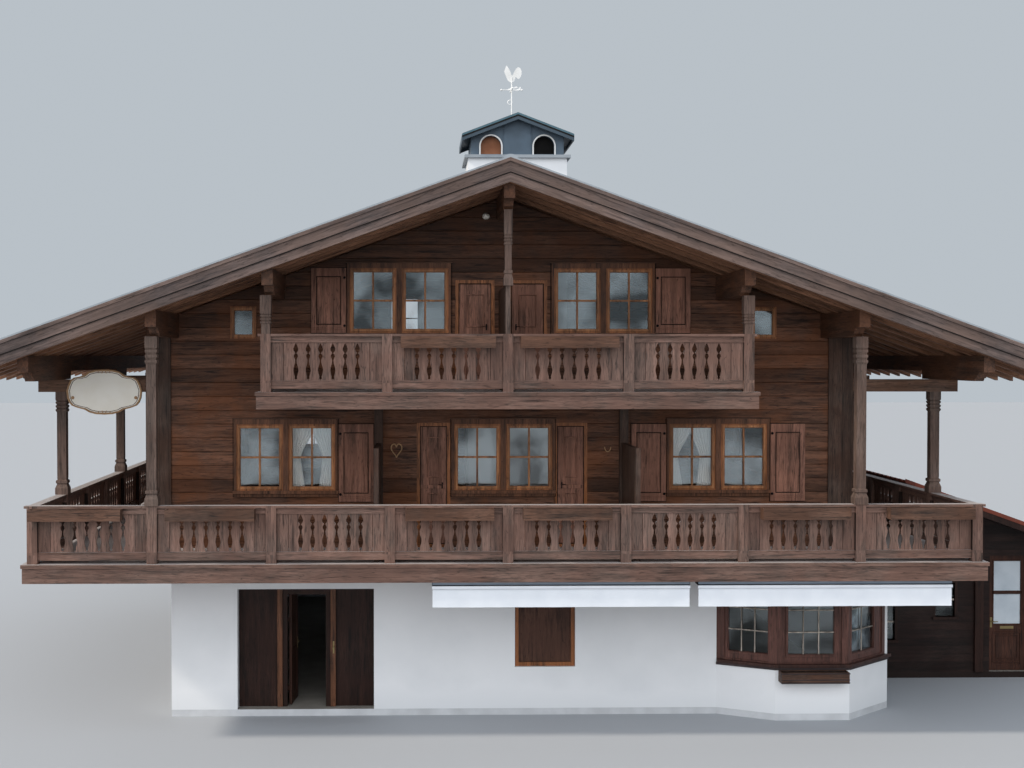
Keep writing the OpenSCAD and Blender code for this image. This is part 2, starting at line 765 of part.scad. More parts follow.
// Boarded partitions between the balconies of neighbouring rooms, from the log wall to the
// railing: each lower one has a wall post up to the upper deck and a slim post at its free edge
module balcony_partitions() {
    wall_post = 150;
    edge = 80;
    screen_top = first_z + 0.5 * (upper_z - first_z) + 0.48 * rail_h;
    edge_y = rail_y + bottom_rail_t / 2 + newel / 2;
    upper_front = rail_y + newel / 2;
    half = screen_t / 2;
    screen_x = -(left_pair_x + pair_half + shutter_step + shutter_w / 2) - screen_gap - half;
    color(timber) {
        for (x = [-screen_x, screen_x]) {
            box([x - half, edge_y + edge - 1, first_z], [x + half, front_y, screen_top]);
            box([x - wall_post / 2, front_y - wall_post, first_z],
                [x + wall_post / 2, front_y, upper_z - floor_t]);
            box([x - edge / 2, edge_y, first_z], [x + edge / 2, edge_y + edge, screen_top + 10]);
        }
        box([-half, upper_front, upper_z], [half, front_y, partition_top]);
    }
}

// Square post with turned-looking mouldings: one profile cut from the front and from the side.
// Three rings stand under the head block over the height rings; foot adds a flared base
module carved_post(h, w, head, rings, foot) {
    half = w / 2;
    shaft = half * 0.8;
    beads = h - head;
    base = foot ? [[0, 0], [half * 1.12, 0], [half * 1.12, 110], [half * 0.82, 190], [half, 205],
        [half, 245], [shaft * 0.96, 262], [shaft, 300]] : [[0, 0], [shaft, 0]];
    ring = [for (k = [0:2]) each [for (p = [[0, 0.8], [0.14, 0.98], [0.26, 0.98], [0.33, 0.8]])
        [half * p[1], beads + (k / 3 + p[0] - 1) * rings]]];
    profile = concat(base, ring, [[half * 0.9, beads], [half, beads + 20], [half, h], [0, h]]);
    outline = concat(profile, [for (i = [len(profile) - 2:-1:1]) [-profile[i][0], profile[i][1]]]);
    intersection() {
        translate([0, half * 2, 0]) rotate([90, 0, 0]) linear_extrude(half * 4) polygon(outline);
        translate([-half * 2, 0, 0]) rotate([90, 0, 90]) linear_extrude(half * 4) polygon(outline);
    }
}

function console_bottom(x) = purlin_bottom(x) - console_h;

module gable_posts() {
    tall_x = lower_bay * 3;
    centre_w = 140;
    edge_w = 80;
    short_h = console_bottom(upper_purlin) - upper_rail_z;
    color(timber_red) {
        for (s = [-1, 1]) {
            translate([s * tall_x, rail_y, lower_rail_z])
                carved_post(console_bottom(mid_purlin) - lower_rail_z, post_w, 200, 260, true);
            translate([s * upper_x, rail_y, upper_rail_z])
                carved_post(short_h, post_w - 20, short_h / 2, short_h / 4, false);
        }
        translate([0, rail_y, partition_top])
            carved_post(console_bottom(0) - partition_top, centre_w, 420, 170, true);
        box([-edge_w / 2, rail_y - edge_w / 2, upper_rail_z],
            [edge_w / 2, rail_y + edge_w / 2, partition_top + 1]);
    }
}

cross_h = 220;
cross_w = post_w;
function cross_top() = console_bottom(eave_purlin);

module side_posts() {
    h = cross_top() - cross_h - lower_rail_z;
    color(timber_red) for (s = [-1, 1], y = side_posts_y)
        translate([s * side_x, y, lower_rail_z]) carved_post(h, post_w, 160, 200, true);
}

// Beams along X from the side log walls over the side posts
module cross_beams() {
    out = max(side_x, eave_purlin) + 350;
    w = cross_w;
    color(timber) for (s = [-1, 1], y = side_posts_y) {
        x0 = y < front_y + log_t ? wall_x : half_w;
        box([s > 0 ? x0 : -out, y - w / 2, cross_top() - cross_h],
            [s > 0 ? out : -x0, y + w / 2, cross_top()]);
    }
}

function purlin_bottom(x) = under_z(x) - purlin_h;
purlin_front_y = verge_front_y + barge_t + 150;
purlin_rear_y = verge_rear_y - barge_t - 150;
purlin_lines = [0, upper_purlin, mid_purlin, eave_purlin];

// Section of the purlin at x, up to the rafters
module purlin_section(x, w, drop) {
    half = w / 2;
    z0 = purlin_bottom(x) - drop;
    top = x == 0 ? [[half, under_z(half)], [0, under_z(0)], [-half, under_z(half)]]
        : [[x + half, under_z(x + half)], [x - half, under_z(x - half)]];
    left = x == 0 ? -half : x - half;
    right = x == 0 ? half : x + half;
    polygon(concat([[left, z0], [right, z0]], top));
}

module purlin_beams() {
    for (x = purlin_lines) {
        plate_xz(purlin_front_y, purlin_rear_y - purlin_front_y) purlin_section(x, purlin_w, 0);
        if (x > 0) mirror([1, 0, 0])
            plate_xz(purlin_front_y, purlin_rear_y - purlin_front_y) purlin_section(x, purlin_w, 0);
    }
}

module purlins() {
    color(timber) difference() {
        purlin_beams();
        chimney_shaft(0, ridge_z, 0);
    }
}

// Carved end of a beam, seen from the side: nose is the free end, pointing to -Y
module console_outline(len, h) {
    step = h / 3;
    polygon([[0, h], [0, h - step], [step, h - step], [step * 1.6, h - 2 * step],
        [step * 2.8, h - 2 * step], [step * 3.6, 0], [len, 0], [len, h]]);
}

module console(x, y0, y1, flip) {
    w = purlin_w - 20;
    translate([x - w / 2, 0, console_bottom(abs(x))]) if (flip)
        translate([0, y1, 0]) mirror([0, 1, 0]) bar_x(0, w) console_outline(y1 - y0, console_h);
    else
        translate([0, y0, 0]) bar_x(0, w) console_outline(y1 - y0, console_h);
}

module consoles() {
    front = purlin_front_y + 250;
    rear = purlin_rear_y - 250;
    color(timber) {
        for (x = [0, -upper_purlin, upper_purlin, -mid_purlin, mid_purlin]) {
            console(x, front, front_y, false);
            console(x, rear_y, rear, true);
        }
        for (x = [-eave_purlin, eave_purlin]) {
            console(x, front, first_post_y + 500, false);
            for (i = [1, 2]) console(x, side_posts_y[i] - 500, side_posts_y[i] + 500, false);
        }
    }
}

// Half of the roof's section, from the ridge to the eaves, between two depths under the top
module slope_outline(d0, d1, x_end) {
    polygon([[0, roof_z(0) - d0], [x_end, roof_z(x_end) - d0], [x_end, roof_z(x_end) - d1],
        [0, roof_z(0) - d1]]);
}

// Roof boards with the rafters that carry them
module roof_frame(s) {
    y0 = verge_front_y + barge_t;
    y1 = verge_rear_y - barge_t;
    count = round((y1 - y0 - rafter_w) / 640);
    bay = (y1 - y0 - rafter_w) / count;
    difference() {
        mirror([s < 0 ? 1 : 0, 0, 0]) {
            plate_xz(y0, y1 - y0) slope_outline(cover_t, rafter_top, eave_x);
            for (i = [0:count]) plate_xz(y0 + i * bay, rafter_w)
                slope_outline(rafter_top - 1, roof_under, eave_x);
        }
        chimney_shaft(0, ridge_z + 1, 0);
    }
}

module roof_frame_left() {
    color(timber) roof_frame(-1);
}

module roof_frame_right() {
    color(timber) roof_frame(1);
}

module covering(s) {
    lip = 30;
    difference() {
        mirror([s < 0 ? 1 : 0, 0, 0]) plate_xz(verge_front_y - lip, verge_rear_y - verge_front_y + 2 * lip)
            slope_outline(0, cover_t, eave_x + 2 * lip);
        chimney_shaft(0, ridge_z + 1, 0);
    }
}

module covering_left() {
    color(slate) covering(-1);
}

module covering_right() {
    color(slate) covering(1);
}

// Two stepped boards on each verge, mitred at the ridge
module bargeboards() {
    step = 20;
    color(timber_red) for (y = [verge_front_y, verge_rear_y - barge_t], s = [0, 1]) mirror([s, 0, 0]) {
        back = y < 0 ? step : 0;
        plate_xz(y, barge_t) slope_outline(cover_t, cover_t + barge_h, eave_x);
        plate_xz(y + back, barge_t - step) slope_outline(cover_t + barge_h - 1, roof_under, eave_x);
    }
}

lantern_wall = 120;
lantern_in = 60;
slab_h = 60;
cap_roof_t = 60;
cap_pitch = 0.38;
cap_over = 175;
cap_eave = 186;
cap_board_t = 30;
cap_board_h = 70;
lantern_half = chimney_w / 2 - lantern_in;
cap_half = lantern_half + cap_eave;
cap_depth = chimney_d / 2 + cap_over;

module flues(z0, z1) {
    flue = 420;
    step = chimney_w / 2 - 505;
    for (s = [-1, 1]) box([chimney_x + s * step - flue / 2, chimney_y - flue / 2, z0],
        [chimney_x + s * step + flue / 2, chimney_y + flue / 2, z1]);
}

module chimney_stack() {
    color(plaster) difference() {
        chimney_shaft(slab_z, chimney_slab_z - slab_h, 0);
        flues(slab_z + 900, chimney_slab_z);
    }
}

module chimney_slab() {
    over = 70;
    color(slate) difference() {
        chimney_shaft(chimney_slab_z - slab_h, chimney_slab_z, over);
        flues(slab_z, chimney_slab_z + 1);
    }
}

// Arched opening of the lantern, in its own elevation
module arch_outline(bottom, r) {
    foot = arch_storey_h * 0.4;
    translate([-r, bottom]) square([2 * r, foot]);
    translate([0, bottom + foot]) intersection() {
        circle(r = r);
        translate([-r, -1]) square([2 * r, r + 1]);
    }
}

arch_x = 0.269 * chimney_w;
// Outer form of the lantern about the chimney's middle, with raised rims round its arches
module lantern_body(z0, z1, depth) {
    rim = 28;
    rim_t = 25;
    over = 5;
    peak = z1 + cap_pitch * lantern_half + over;
    panel = arch_x - arch_w / 2 - rim - 10;
    plate_xz(-depth / 2, depth) polygon([[-lantern_half, z0], [lantern_half, z0],
        [lantern_half, z1 + over], [0, peak], [-lantern_half, z1 + over]]);
    for (y = [-depth / 2 - rim_t, depth / 2 - 1]) plate_xz(y, rim_t + 1) {
        for (s = [-1, 1]) translate([s * arch_x, 0]) arch_outline(z0, arch_w / 2 + rim);
        polygon([[-panel, z0], [panel, z0], [panel, z1], [0, z1 + cap_pitch * panel], [-panel, z1]]);
    }
}

module chimney_lantern() {
    z0 = chimney_slab_z;
    z1 = z0 + arch_storey_h;
    depth = chimney_d - 2 * lantern_in;
    sill = 20;
    room = lantern_half - lantern_wall;
    color("#5f7482") difference() {
        translate([chimney_x, chimney_y, 0]) difference() {
            lantern_body(z0, z1, depth);
            plate_xz(-depth / 2 + lantern_wall, depth - 2 * lantern_wall) polygon([[-room, z0 - 1],
                [room, z0 - 1], [room, z1], [0, z1 + cap_pitch * room], [-room, z1]]);
            plate_xz(-depth, 2 * depth) for (s = [-1, 1]) translate([s * arch_x, 0])
                arch_outline(z0 + sill, arch_w / 2);
        }
        chimney_roof_solid();
    }
}

// Both slopes of the chimney's roof in elevation, from d0 to d1 under their top
module cap_outline(d0, d1) {
    peak = chimney_slab_z + arch_storey_h + cap_pitch * lantern_half + cap_roof_t;
    foot = peak - cap_pitch * cap_half;
    polygon([[-cap_half, foot - d1], [0, peak - d1], [cap_half, foot - d1],
        [cap_half, foot - d0], [0, peak - d0], [-cap_half, foot - d0]]);
}

module chimney_roof_solid() {
    translate([chimney_x, chimney_y, 0]) plate_xz(-cap_depth, 2 * cap_depth) cap_outline(0, cap_roof_t);
}

// Sheet roof of the chimney with boards under its verges and eaves
module chimney_roof() {
    drop = cap_roof_t + cap_board_h;
    eave_z = vane_base() - cap_pitch * cap_half - drop;
    color("#6b7469") {
        chimney_roof_solid();
        translate([chimney_x, chimney_y, 0]) {
            for (y = [-cap_depth, cap_depth - cap_board_t]) plate_xz(y, cap_board_t)
                cap_outline(cap_roof_t - 1, drop);
            for (s = [0, 1]) mirror([s, 0, 0]) box([cap_half - cap_board_t, -cap_depth, eave_z],
                [cap_half, cap_depth, eave_z + cap_board_h + 10]);
        }
    }
}

// Weathervane: a rod with a ring and cross arms, and the pin that the cock turns on
vane_x = chimney_x - vane_left;
vane_y = chimney_y + vane_back;
vane_pin_r = 7;
vane_rod_r = 13;
function vane_base() = chimney_slab_z + arch_storey_h + cap_pitch * lantern_half + cap_roof_t;
vane_rod_h = 820;
vane_hub_h = 120;

// Pierced arrow in side view, its tip to -X, in hundredths of the rod's height
module arrow_outline() {
    polygon([for (p = [[-13, 0], [-7, 3.4], [-1, 6.3], [7, 7.1], [11, 8.8], [14.6, 8.5], [15.6, 6.3],
        [11.6, 4.9], [3.7, 3.2], [-4.9, 1.5], [2.4, 1], [12.2, 1.2], [15.9, 2.7], [19.5, 7.3], [22.6, 8],
        [23.2, 4.9], [20.1, 0], [15.2, -2.7], [7.3, -1.7], [-2.4, -2.4]]) p * vane_rod_h / 100]);
}

module weathervane_stand() {
    arm_z = vane_base() + 0.83 * vane_rod_h;
    arm_len = 0.26 * vane_rod_h;
    ball = 22;
    curl = 45;
    color("#2f2f31") difference() {
        translate([vane_x, vane_y, 0]) {
            translate([0, 0, vane_base() - 40]) cylinder(h = vane_rod_h + 40, r = vane_rod_r);
            translate([0, 0, vane_base() + vane_rod_h]) cylinder(h = vane_hub_h + 20, r = vane_pin_r);
            translate([0, 0, vane_base() - 40]) cylinder(h = 110, r = 38);
            translate([-curl * 0.8, 0, vane_base() + 0.52 * vane_rod_h]) rotate([90, 0, 0])
                rotate_extrude() translate([curl, 0]) circle(r = 9, $fn = 16);
            translate([0, 0, arm_z]) plate_xz(-5, 10) arrow_outline();
            for (a = [0, 90]) rotate([0, 0, a]) translate([0, 0, arm_z]) rotate([0, 90, 0])
                cylinder(h = 2 * arm_len, r = 9, center = true);
            for (a = [0, 90, 180, 270]) rotate([0, 0, a]) translate([arm_len, 0, arm_z])
                sphere(r = ball);
        }
        chimney_roof_solid();
    }
}

module weathercock() {
    z = vane_base() + vane_rod_h + 1;
    color("#e8e8e6") translate([vane_x, vane_y, z]) difference() {
        union() {
            cylinder(h = vane_hub_h, r = vane_pin_r + 9);
            plate_xz(-7, 14) cock_outline();
        }
        translate([0, 0, -1]) cylinder(h = vane_hub_h + 30, r = vane_pin_r + pin_play);
    }
}

// Cock in side view, beak to -X and tail to +X, in hundredths of its height
module cock_outline() {
    polygon([for (p = [[0, 0], [5, 1], [13, 7], [19, 20], [23, 32], [29, 29], [32, 25], [38, 20], [48, 27],
        [55, 40], [59, 55], [58, 68], [54, 80], [46, 89], [36, 90], [26, 82], [17, 67], [9, 50], [3, 41],
        [-2, 45], [-5, 57], [-11, 71], [-19, 85], [-26, 96], [-32, 100], [-36, 92], [-39, 79], [-45, 69],
        [-42, 59], [-36, 42], [-29, 25], [-22, 10], [-9, 2]]) p * cock_h / 100 + [0, 12]]);
}

module window_frames() {
    color(timber_red) {
        for (o = front_windows) frame_ring(o, front_y - frame_proud, frame_t, frame_bar);
        for (o = front_doors) frame_ring(o, front_y, frame_t, frame_bar);
        frame_ring(terrace_window, front_y + 60, frame_t, frame_bar);
        to_rear() for (o = rear_windows) frame_ring(o, front_y - frame_proud, frame_t, frame_bar);
        for (o = ground_rear_windows) translate([0, rear_y - 60 - frame_t, 0])
            frame_ring(o, 0, frame_t, frame_bar);
        both_sides() rotate([0, 0, 90])
            for (o = side_windows) frame_ring(o, -half_w - frame_proud, frame_t, frame_bar);
        rotate([0, 0, -90]) for (o = ground_side_windows)
            frame_ring([-o[0], o[1], o[2], o[3]], -half_w + 60, frame_t, frame_bar);
    }
}

// Boards round one pair of windows: jambs, a middle board, a head and a sill
module pair_trim(x, z0, z1, y) {
    side = trim_side - trim_gap;
    head = 90;
    sill = 55;
    sill_out = 45;
    inner = pair_step - window_w - 2 * trim_gap;
    half = pair_half + trim_side;
    plate_xz(y - trim_t, trim_t) {
        for (s = [-1, 1]) translate([x + s * (half - side / 2) - side / 2, z0]) square([side, z1 - z0]);
        translate([x - inner / 2, z0]) square([inner, z1 - z0]);
        translate([x - half, z1]) square([2 * half, head]);
    }
    box([x - half - 15, y - trim_t - sill_out, z0 - sill], [x + half + 15, y, z0]);
    box([x - half, y - trim_t, z0 - 2 * sill], [x + half, y, z0 - sill]);
}

module window_trim() {
    color(timber_red) {
        for (x = first_pairs) pair_trim(x, first_z0, first_z1, front_y);
        for (x = upper_pairs) pair_trim(x, upper_z0, upper_z1, front_y);
    }
}

module glass_panes() {
    back = glass_back - frame_proud;
    color(glass_tint) {
        for (o = front_windows) pane(o, front_y + back, glass_t, frame_bar);
        to_rear() for (o = rear_windows) pane(o, front_y + back, glass_t, frame_bar);
        for (o = ground_rear_windows) pane(o, rear_y - 60 - frame_t + glass_back, glass_t, frame_bar);
        both_sides() rotate([0, 0, 90])
            for (o = side_windows) pane(o, -half_w + back, glass_t, frame_bar);
        rotate([0, 0, -90]) for (o = ground_side_windows)
            pane([-o[0], o[1], o[2], o[3]], -half_w + 60 + glass_back, glass_t, frame_bar);
        for (i = [0:2]) bay_opening(i, 2 * glass_back, glass_t);
        for (o = wing_windows) pane(o, wing_front + 50, glass_t, 0);
    }
}

// Shutters on the outer faces of the log wall, each with a groove round its raised panel, and
// the boarded panel in the terrace window
module shutters() {
    stile = 88;
    rail = 145;
    groove = 16;
    color(timber_dark) {
        for (o = front_shutters) difference() {
            plate_xz(front_y - panel_t, panel_t) hole_outlines([o]);
            frame_ring([o[0], o[1] - 2 * stile, o[2] + rail, o[3] - rail], front_y - panel_t - 1, 9, groove);
        }
        pane(terrace_window, front_y + 60 + glass_back, panel_t, frame_bar);
    }
}

// Fixed leaves of the balcony doors: upright boards with grooves between them, over a ledge
module balcony_doors() {
    leaf = door_t - 20;
    boards = 4;
    groove = 8;
    ledge_h = 60;
    color(timber_dark) for (o = front_doors) {
        w = o[1] - 2 * frame_bar;
        ledge_z = (o[2] + o[3]) / 2;
        difference() {
            pane(o, front_y + 25, leaf, frame_bar);
            for (i = [1:boards - 1]) box([o[0] - w / 2 + i * w / boards - groove / 2, front_y + 24, ledge_z],
                [o[0] - w / 2 + i * w / boards + groove / 2, front_y + 31, o[3] - frame_bar + 1]);
        }
        box([o[0] - w / 2, front_y + 5, ledge_z - ledge_h], [o[0] + w / 2, front_y + 26, ledge_z]);
    }
}

// Boxes full of earth on the outer side of the railings
box_h = 190;
box_d = 210;
lower_boxes = [[-7070, 1500], [-4875, 1450], [-965, 1450], [970, 1450], [4900, 1450], [6980, 1400]];
upper_boxes = [[-990, 1550], [1000, 1600]];

module flower_box(x, len, top) {
    back = rail_y - newel / 2;
    wall = 22;
    translate([x, 0, top - box_h]) difference() {
        box([-len / 2, back - box_d, 0], [len / 2, back, box_h]);
        box([-len / 2 + wall, back - box_d + wall, box_h - 25], [len / 2 - wall, back - wall, box_h + 1]);
    }
}

// Planter on the front of the bay, under its sill board
module bay_planter() {
    wall = 22;
    deep = 240;
    tall = 195;
    top = parapet_z - 45;
    x0 = bay_front_left + 60;
    x1 = bay_front_right - 70;
    y1 = front_y - bay_out;
    difference() {
        box([x0, y1 - deep, top - tall], [x1, y1, top]);
        box([x0 + wall, y1 - deep + wall, top - 25], [x1 - wall, y1 - wall, top + 1]);
    }
}

module flower_boxes() {
    color(timber_dark) {
        bay_planter();
        for (b = lower_boxes) flower_box(b[0], b[1], lower_rail_z - cap_h);
        for (b = upper_boxes) flower_box(b[0], b[1], upper_rail_z - cap_h);
    }
}

// Retracted awnings under the front deck: a case on brackets, a front bar with a hanging
// valance, and the folded arms
awning_left = -0.161 * side_x;
awning_gap = 130;
awning_middle = 0.395 * side_x;
awning_right = 0.947 * side_x;
awning_spans = [[awning_left, awning_middle - awning_gap / 2],
    [awning_middle + awning_gap / 2, awning_right]];
module awnings() {
    y0 = deck_edge_y + fascia_t + 40;
    depth = 260;
    drop = 40;
    case_h = 95;
    bar_h = 55;
    valance_h = 360;
    arm = 34;
    top = ceiling_z - drop;
    bar_z = top - case_h - bar_h;
    color("#eceef1") for (a = awning_spans) {
        box([a[0], y0, top - case_h], [a[1], y0 + depth, top]);
        for (i = [-lower_bays / 2:lower_bays / 2]) if (i * lower_bay > a[0] && i * lower_bay < a[1])
            box([i * lower_bay - 40, y0 + 80, top - 1], [i * lower_bay + 40, y0 + 180, ceiling_z]);
        box([a[0], y0 - 25, bar_z], [a[1], y0 + 40, top - case_h + 1]);
        box([a[0], y0 - 4, top - case_h - valance_h], [a[1], y0 + 8, bar_z + 1]);
        for (s = [0, 1]) translate([s * (a[0] + a[1]), 0, 0]) mirror([s, 0, 0])
            box([a[0] + 200, y0 + 100, top - case_h - arm], [a[0] + 1900, y0 + 100 + arm, top - case_h + 1]);
    }
}

// Bare sign board with a scalloped outline, on the front of the left cross-beam: it fills the
// width between the corner boards and the console of the eaves purlin
sign_t = 40;
sign_gap = 65;
sign_w = eave_purlin - purlin_w / 2 - wall_x - 2 * sign_gap;
sign_h = 0.6 * sign_w;
sign_half = [[0, 50], [12, 49], [21, 45], [27, 37], [33, 34], [40, 32], [45, 26], [48, 15], [50, 3],
    [49, -13], [46.5, -23], [43, -30], [35, -35], [26, -39], [20, -45], [11, -49], [0, -50]];
sign_outline = concat(sign_half, [for (i = [len(sign_half) - 2:-1:1]) [-sign_half[i][0], sign_half[i][1]]]);
module sign_board() {
    middle = [-(wall_x + eave_purlin - purlin_w / 2) / 2, cross_top() - cross_h];
    color("#e7e0cf") plate_xz(first_post_y - cross_w / 2 - sign_t, sign_t) translate(middle)
        polygon([for (p = sign_outline) [p[0] * sign_w, p[1] * sign_h] / 100]);
}

wing_roof_t = 200;
wing_roof_x0 = deck_edge_x;
wing_roof_z0 = 4040;
wing_over = 400;
wing_over_front = 700;
function wing_under(x) = wing_roof_z0 - pitch * (x - wing_roof_x0) - wing_roof_t;
wing_door_x0 = wing_door_x - wing_door_w / 2;
wing_door_x1 = wing_door_x + wing_door_w / 2;

// Outline of the wing's front and rear walls under the balcony and the lean-to roof
module wing_wall_outline() {
    fascia_z = first_z - fascia_h;
    polygon([[ground_right, slab_z], [wing_right, slab_z], [wing_right, wing_under(wing_right)],
        [wing_roof_x0, wing_under(wing_roof_x0)], [wing_roof_x0, fascia_z],
        [wing_roof_x0 - fascia_t, fascia_z], [wing_roof_x0 - fascia_t, ceiling_z],
        [ground_right, ceiling_z]]);
}

module wing_walls() {
    y1 = wing_front + wing_d;
    color(timber_dark) {
        plate_xz(wing_front, wing_t) difference() {
            wing_wall_outline();
            translate([wing_door_x0, 0]) square([wing_door_w, 2 * first_z]);
            hole_outlines(wing_windows);
        }
        plate_xz(y1 - wing_t, wing_t) wing_wall_outline();
        box([wing_right - wing_t, wing_front + wing_t, slab_z],
            [wing_right, y1 - wing_t, wing_under(wing_right)]);
    }
    color("#4b4b4b") for (z = hinge_levels(slab_z))
        translate([wing_door_x1 - leaf_gap / 2, hinge_axis_y(wing_front + wing_t), z]) hinge_pintle(-1);
}

module wing_lintel() {
    color(timber_dark) plate_xz(wing_front, wing_t) polygon([[wing_door_x0, wing_door_top],
        [wing_door_x1, wing_door_top], [wing_door_x1, wing_under(wing_door_x1)],
        [wing_door_x0, wing_under(wing_door_x0)]]);
}

module wing_roof() {
    x1 = wing_right + wing_over;
    color(red_tile) plate_xz(wing_front - wing_over_front, wing_d + wing_over_front + 300)
        polygon([[wing_roof_x0, wing_under(wing_roof_x0)], [x1, wing_under(x1)],
            [x1, wing_under(x1) + wing_roof_t], [wing_roof_x0, wing_roof_z0]]);
}

// Moves the children, drawn along +X from the hinge axis, to the closed wing door
module at_wing_hinge() {
    translate([wing_door_x1 - leaf_gap / 2, hinge_axis_y(wing_front + wing_t), 0]) mirror([1, 0, 0])
        children();
}

module wing_door() {
    at_wing_hinge() {
        color(timber_dark) leaf_panel(wing_door_w, slab_z, wing_door_top, true);
        color("#4b4b4b") for (z = hinge_levels(slab_z)) translate([0, 0, z]) hinge_strap();
    }
}

// The two panes of the wing door, one over the other
module wing_door_panes() {
    stile = 110;
    bar = 75;
    pane_t = 18;
    w = wing_door_w - 2 * leaf_gap;
    h = wing_door_top - slab_z - 2 * leaf_gap;
    z0 = slab_z + leaf_gap + light_sill * h + stile / 2;
    z1 = slab_z + leaf_gap + h - stile;
    y0 = -hinge_back - (leaf_t + pane_t) / 2;
    at_wing_hinge() color("#c9cfd2") translate([leaf_gap / 2 + stile, y0, 0]) {
        box([0, 0, z0], [w - 2 * stile, pane_t, z1]);
        box([0, -8, (z0 + z1 - bar) / 2], [w - 2 * stile, pane_t + 8, (z0 + z1 + bar) / 2]);
    }
}

ground_slab();
ground_front_wall();
entrance_lintel();
ground_side_walls();
ground_rear_wall();
bay_parapet();
bay_frame();
entrance_front();
entrance_door();
first_floor();
upper_floor();
front_log_wall();
rear_log_wall();
side_log_walls();
corner_boards();
lower_deck();
lower_front_railing();
lower_side_railings();
upper_deck();
upper_railing();
balcony_partitions();
gable_posts();
side_posts();
purlins();
consoles();
cross_beams();
roof_frame_left();
roof_frame_right();
covering_left();
covering_right();
bargeboards();
chimney_stack();
chimney_slab();
chimney_lantern();
chimney_roof();
weathervane_stand();
weathercock();
window_frames();
window_trim();
glass_panes();
shutters();
balcony_doors();
flower_boxes();
awnings();
sign_board();
wing_walls();
wing_lintel();
wing_roof();
wing_door();
wing_door_panes();
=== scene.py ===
"""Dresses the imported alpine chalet: finishes for every part, window bars, tiles, trim and hardware."""

import math

import bmesh
import bpy
import numpy as np
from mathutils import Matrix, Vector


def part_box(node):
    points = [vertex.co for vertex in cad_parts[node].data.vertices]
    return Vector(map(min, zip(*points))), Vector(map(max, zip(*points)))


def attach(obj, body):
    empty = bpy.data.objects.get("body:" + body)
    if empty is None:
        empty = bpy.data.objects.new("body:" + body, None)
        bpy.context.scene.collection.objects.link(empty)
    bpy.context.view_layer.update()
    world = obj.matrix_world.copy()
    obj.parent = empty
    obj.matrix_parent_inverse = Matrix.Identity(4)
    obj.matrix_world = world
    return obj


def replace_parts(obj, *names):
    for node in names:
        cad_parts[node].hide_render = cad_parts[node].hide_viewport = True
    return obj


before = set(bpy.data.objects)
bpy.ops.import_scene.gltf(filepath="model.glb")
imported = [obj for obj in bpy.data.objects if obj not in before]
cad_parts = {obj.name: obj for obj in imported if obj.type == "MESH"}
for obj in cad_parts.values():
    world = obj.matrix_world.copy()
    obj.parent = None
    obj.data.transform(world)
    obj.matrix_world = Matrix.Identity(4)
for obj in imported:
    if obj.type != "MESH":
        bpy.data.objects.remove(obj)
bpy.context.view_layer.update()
HOUSE = "house"

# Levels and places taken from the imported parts, in metres
FIRST_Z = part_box("lower_deck")[1].z
UPPER_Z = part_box("upper_deck")[1].z
FRONT_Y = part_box("front_log_wall")[0].y
RIDGE_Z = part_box("covering_left")[1].z

# Fall of every roof: height lost for each metre
ROOF_FALL = 0.36

# Camera fitted to the photograph
CAMERA_PLACE = (-1.512, -30.964, 6.432)
CAMERA_TURN = (88.832, 0.0, -1.207)
CAMERA_LENS = 49.32
CAMERA_SHIFT_X = 0.0646

# Height of one log
COURSE_H = 0.245

# Railings: spacing of the newels in front and at the sides, where the side bays start, width of a newel,
# boards in a bay, and the heights above the deck between which the boards stand
LOWER_BAY, UPPER_BAY, SIDE_BAY = 1.95, 1.99, 4.9 / 3
SIDE_START, SIDE_CLEAR = -5.9, 1.463
NEWEL_W = 0.17
FRONT_BOARDS, SIDE_BOARDS = 9, 7
BOARDS_FOOT, BOARDS_HEAD = 0.19, 0.815

# Roof tiles: length that shows down the slope, and width of a grey and of a red tile
TILE_ROW, GREY_TILE_W, RED_TILE_W = 0.34, 0.30, 0.26


def linear(hex_colour):
    """The linear colour of an sRGB hex value such as "#5b4236"."""
    value = np.array([int(hex_colour[i:i + 2], 16) for i in (1, 3, 5)]) / 255
    lin = np.where(value <= 0.04045, value / 12.92, ((value + 0.055) / 1.055) ** 2.4)
    return (*(float(v) for v in lin), 1.0)


# Materials

def add(tree, kind, settings=None, inputs=None):
    """Adds a node with its settings, and sets or links its inputs; returns the node."""
    made = tree.nodes.new(kind)
    for key, value in (settings or {}).items():
        setattr(made, key, value)
    for key, value in (inputs or {}).items():
        if isinstance(value, bpy.types.NodeSocket):
            tree.links.new(value, made.inputs[key])
        else:
            made.inputs[key].default_value = value
    return made


def ramp(tree, factor, stops):
    """Colours between stops of (position, hex or number), driven by factor."""
    made = add(tree, "ShaderNodeValToRGB", None, {"Fac": factor})
    points = made.color_ramp.elements
    while len(points) < len(stops):
        points.new(0.5)
    for point, (position, value) in zip(points, stops):
        point.position = position
        point.color = linear(value) if isinstance(value, str) else (value, value, value, 1)
    return made.outputs["Color"]


def new_material(name, roughness=0.7, metallic=0.0, sheen=0.5):
    """An empty principled material; returns it, its tree and its shader. Sheen is the specular level."""
    material = bpy.data.materials.new(name)
    material.use_nodes = True
    tree = material.node_tree
    shader = tree.nodes["Principled BSDF"]
    shader.inputs["Roughness"].default_value = roughness
    shader.inputs["Metallic"].default_value = metallic
    shader.inputs["Specular IOR Level"].default_value = sheen
    return material, tree, shader


def place(tree, scale=(1, 1, 1)):
    """Object coordinates in metres, scaled per axis."""
    coords = add(tree, "ShaderNodeTexCoord").outputs["Object"]
    return add(tree, "ShaderNodeMapping", None, {"Vector": coords, "Scale": scale}).outputs["Vector"]


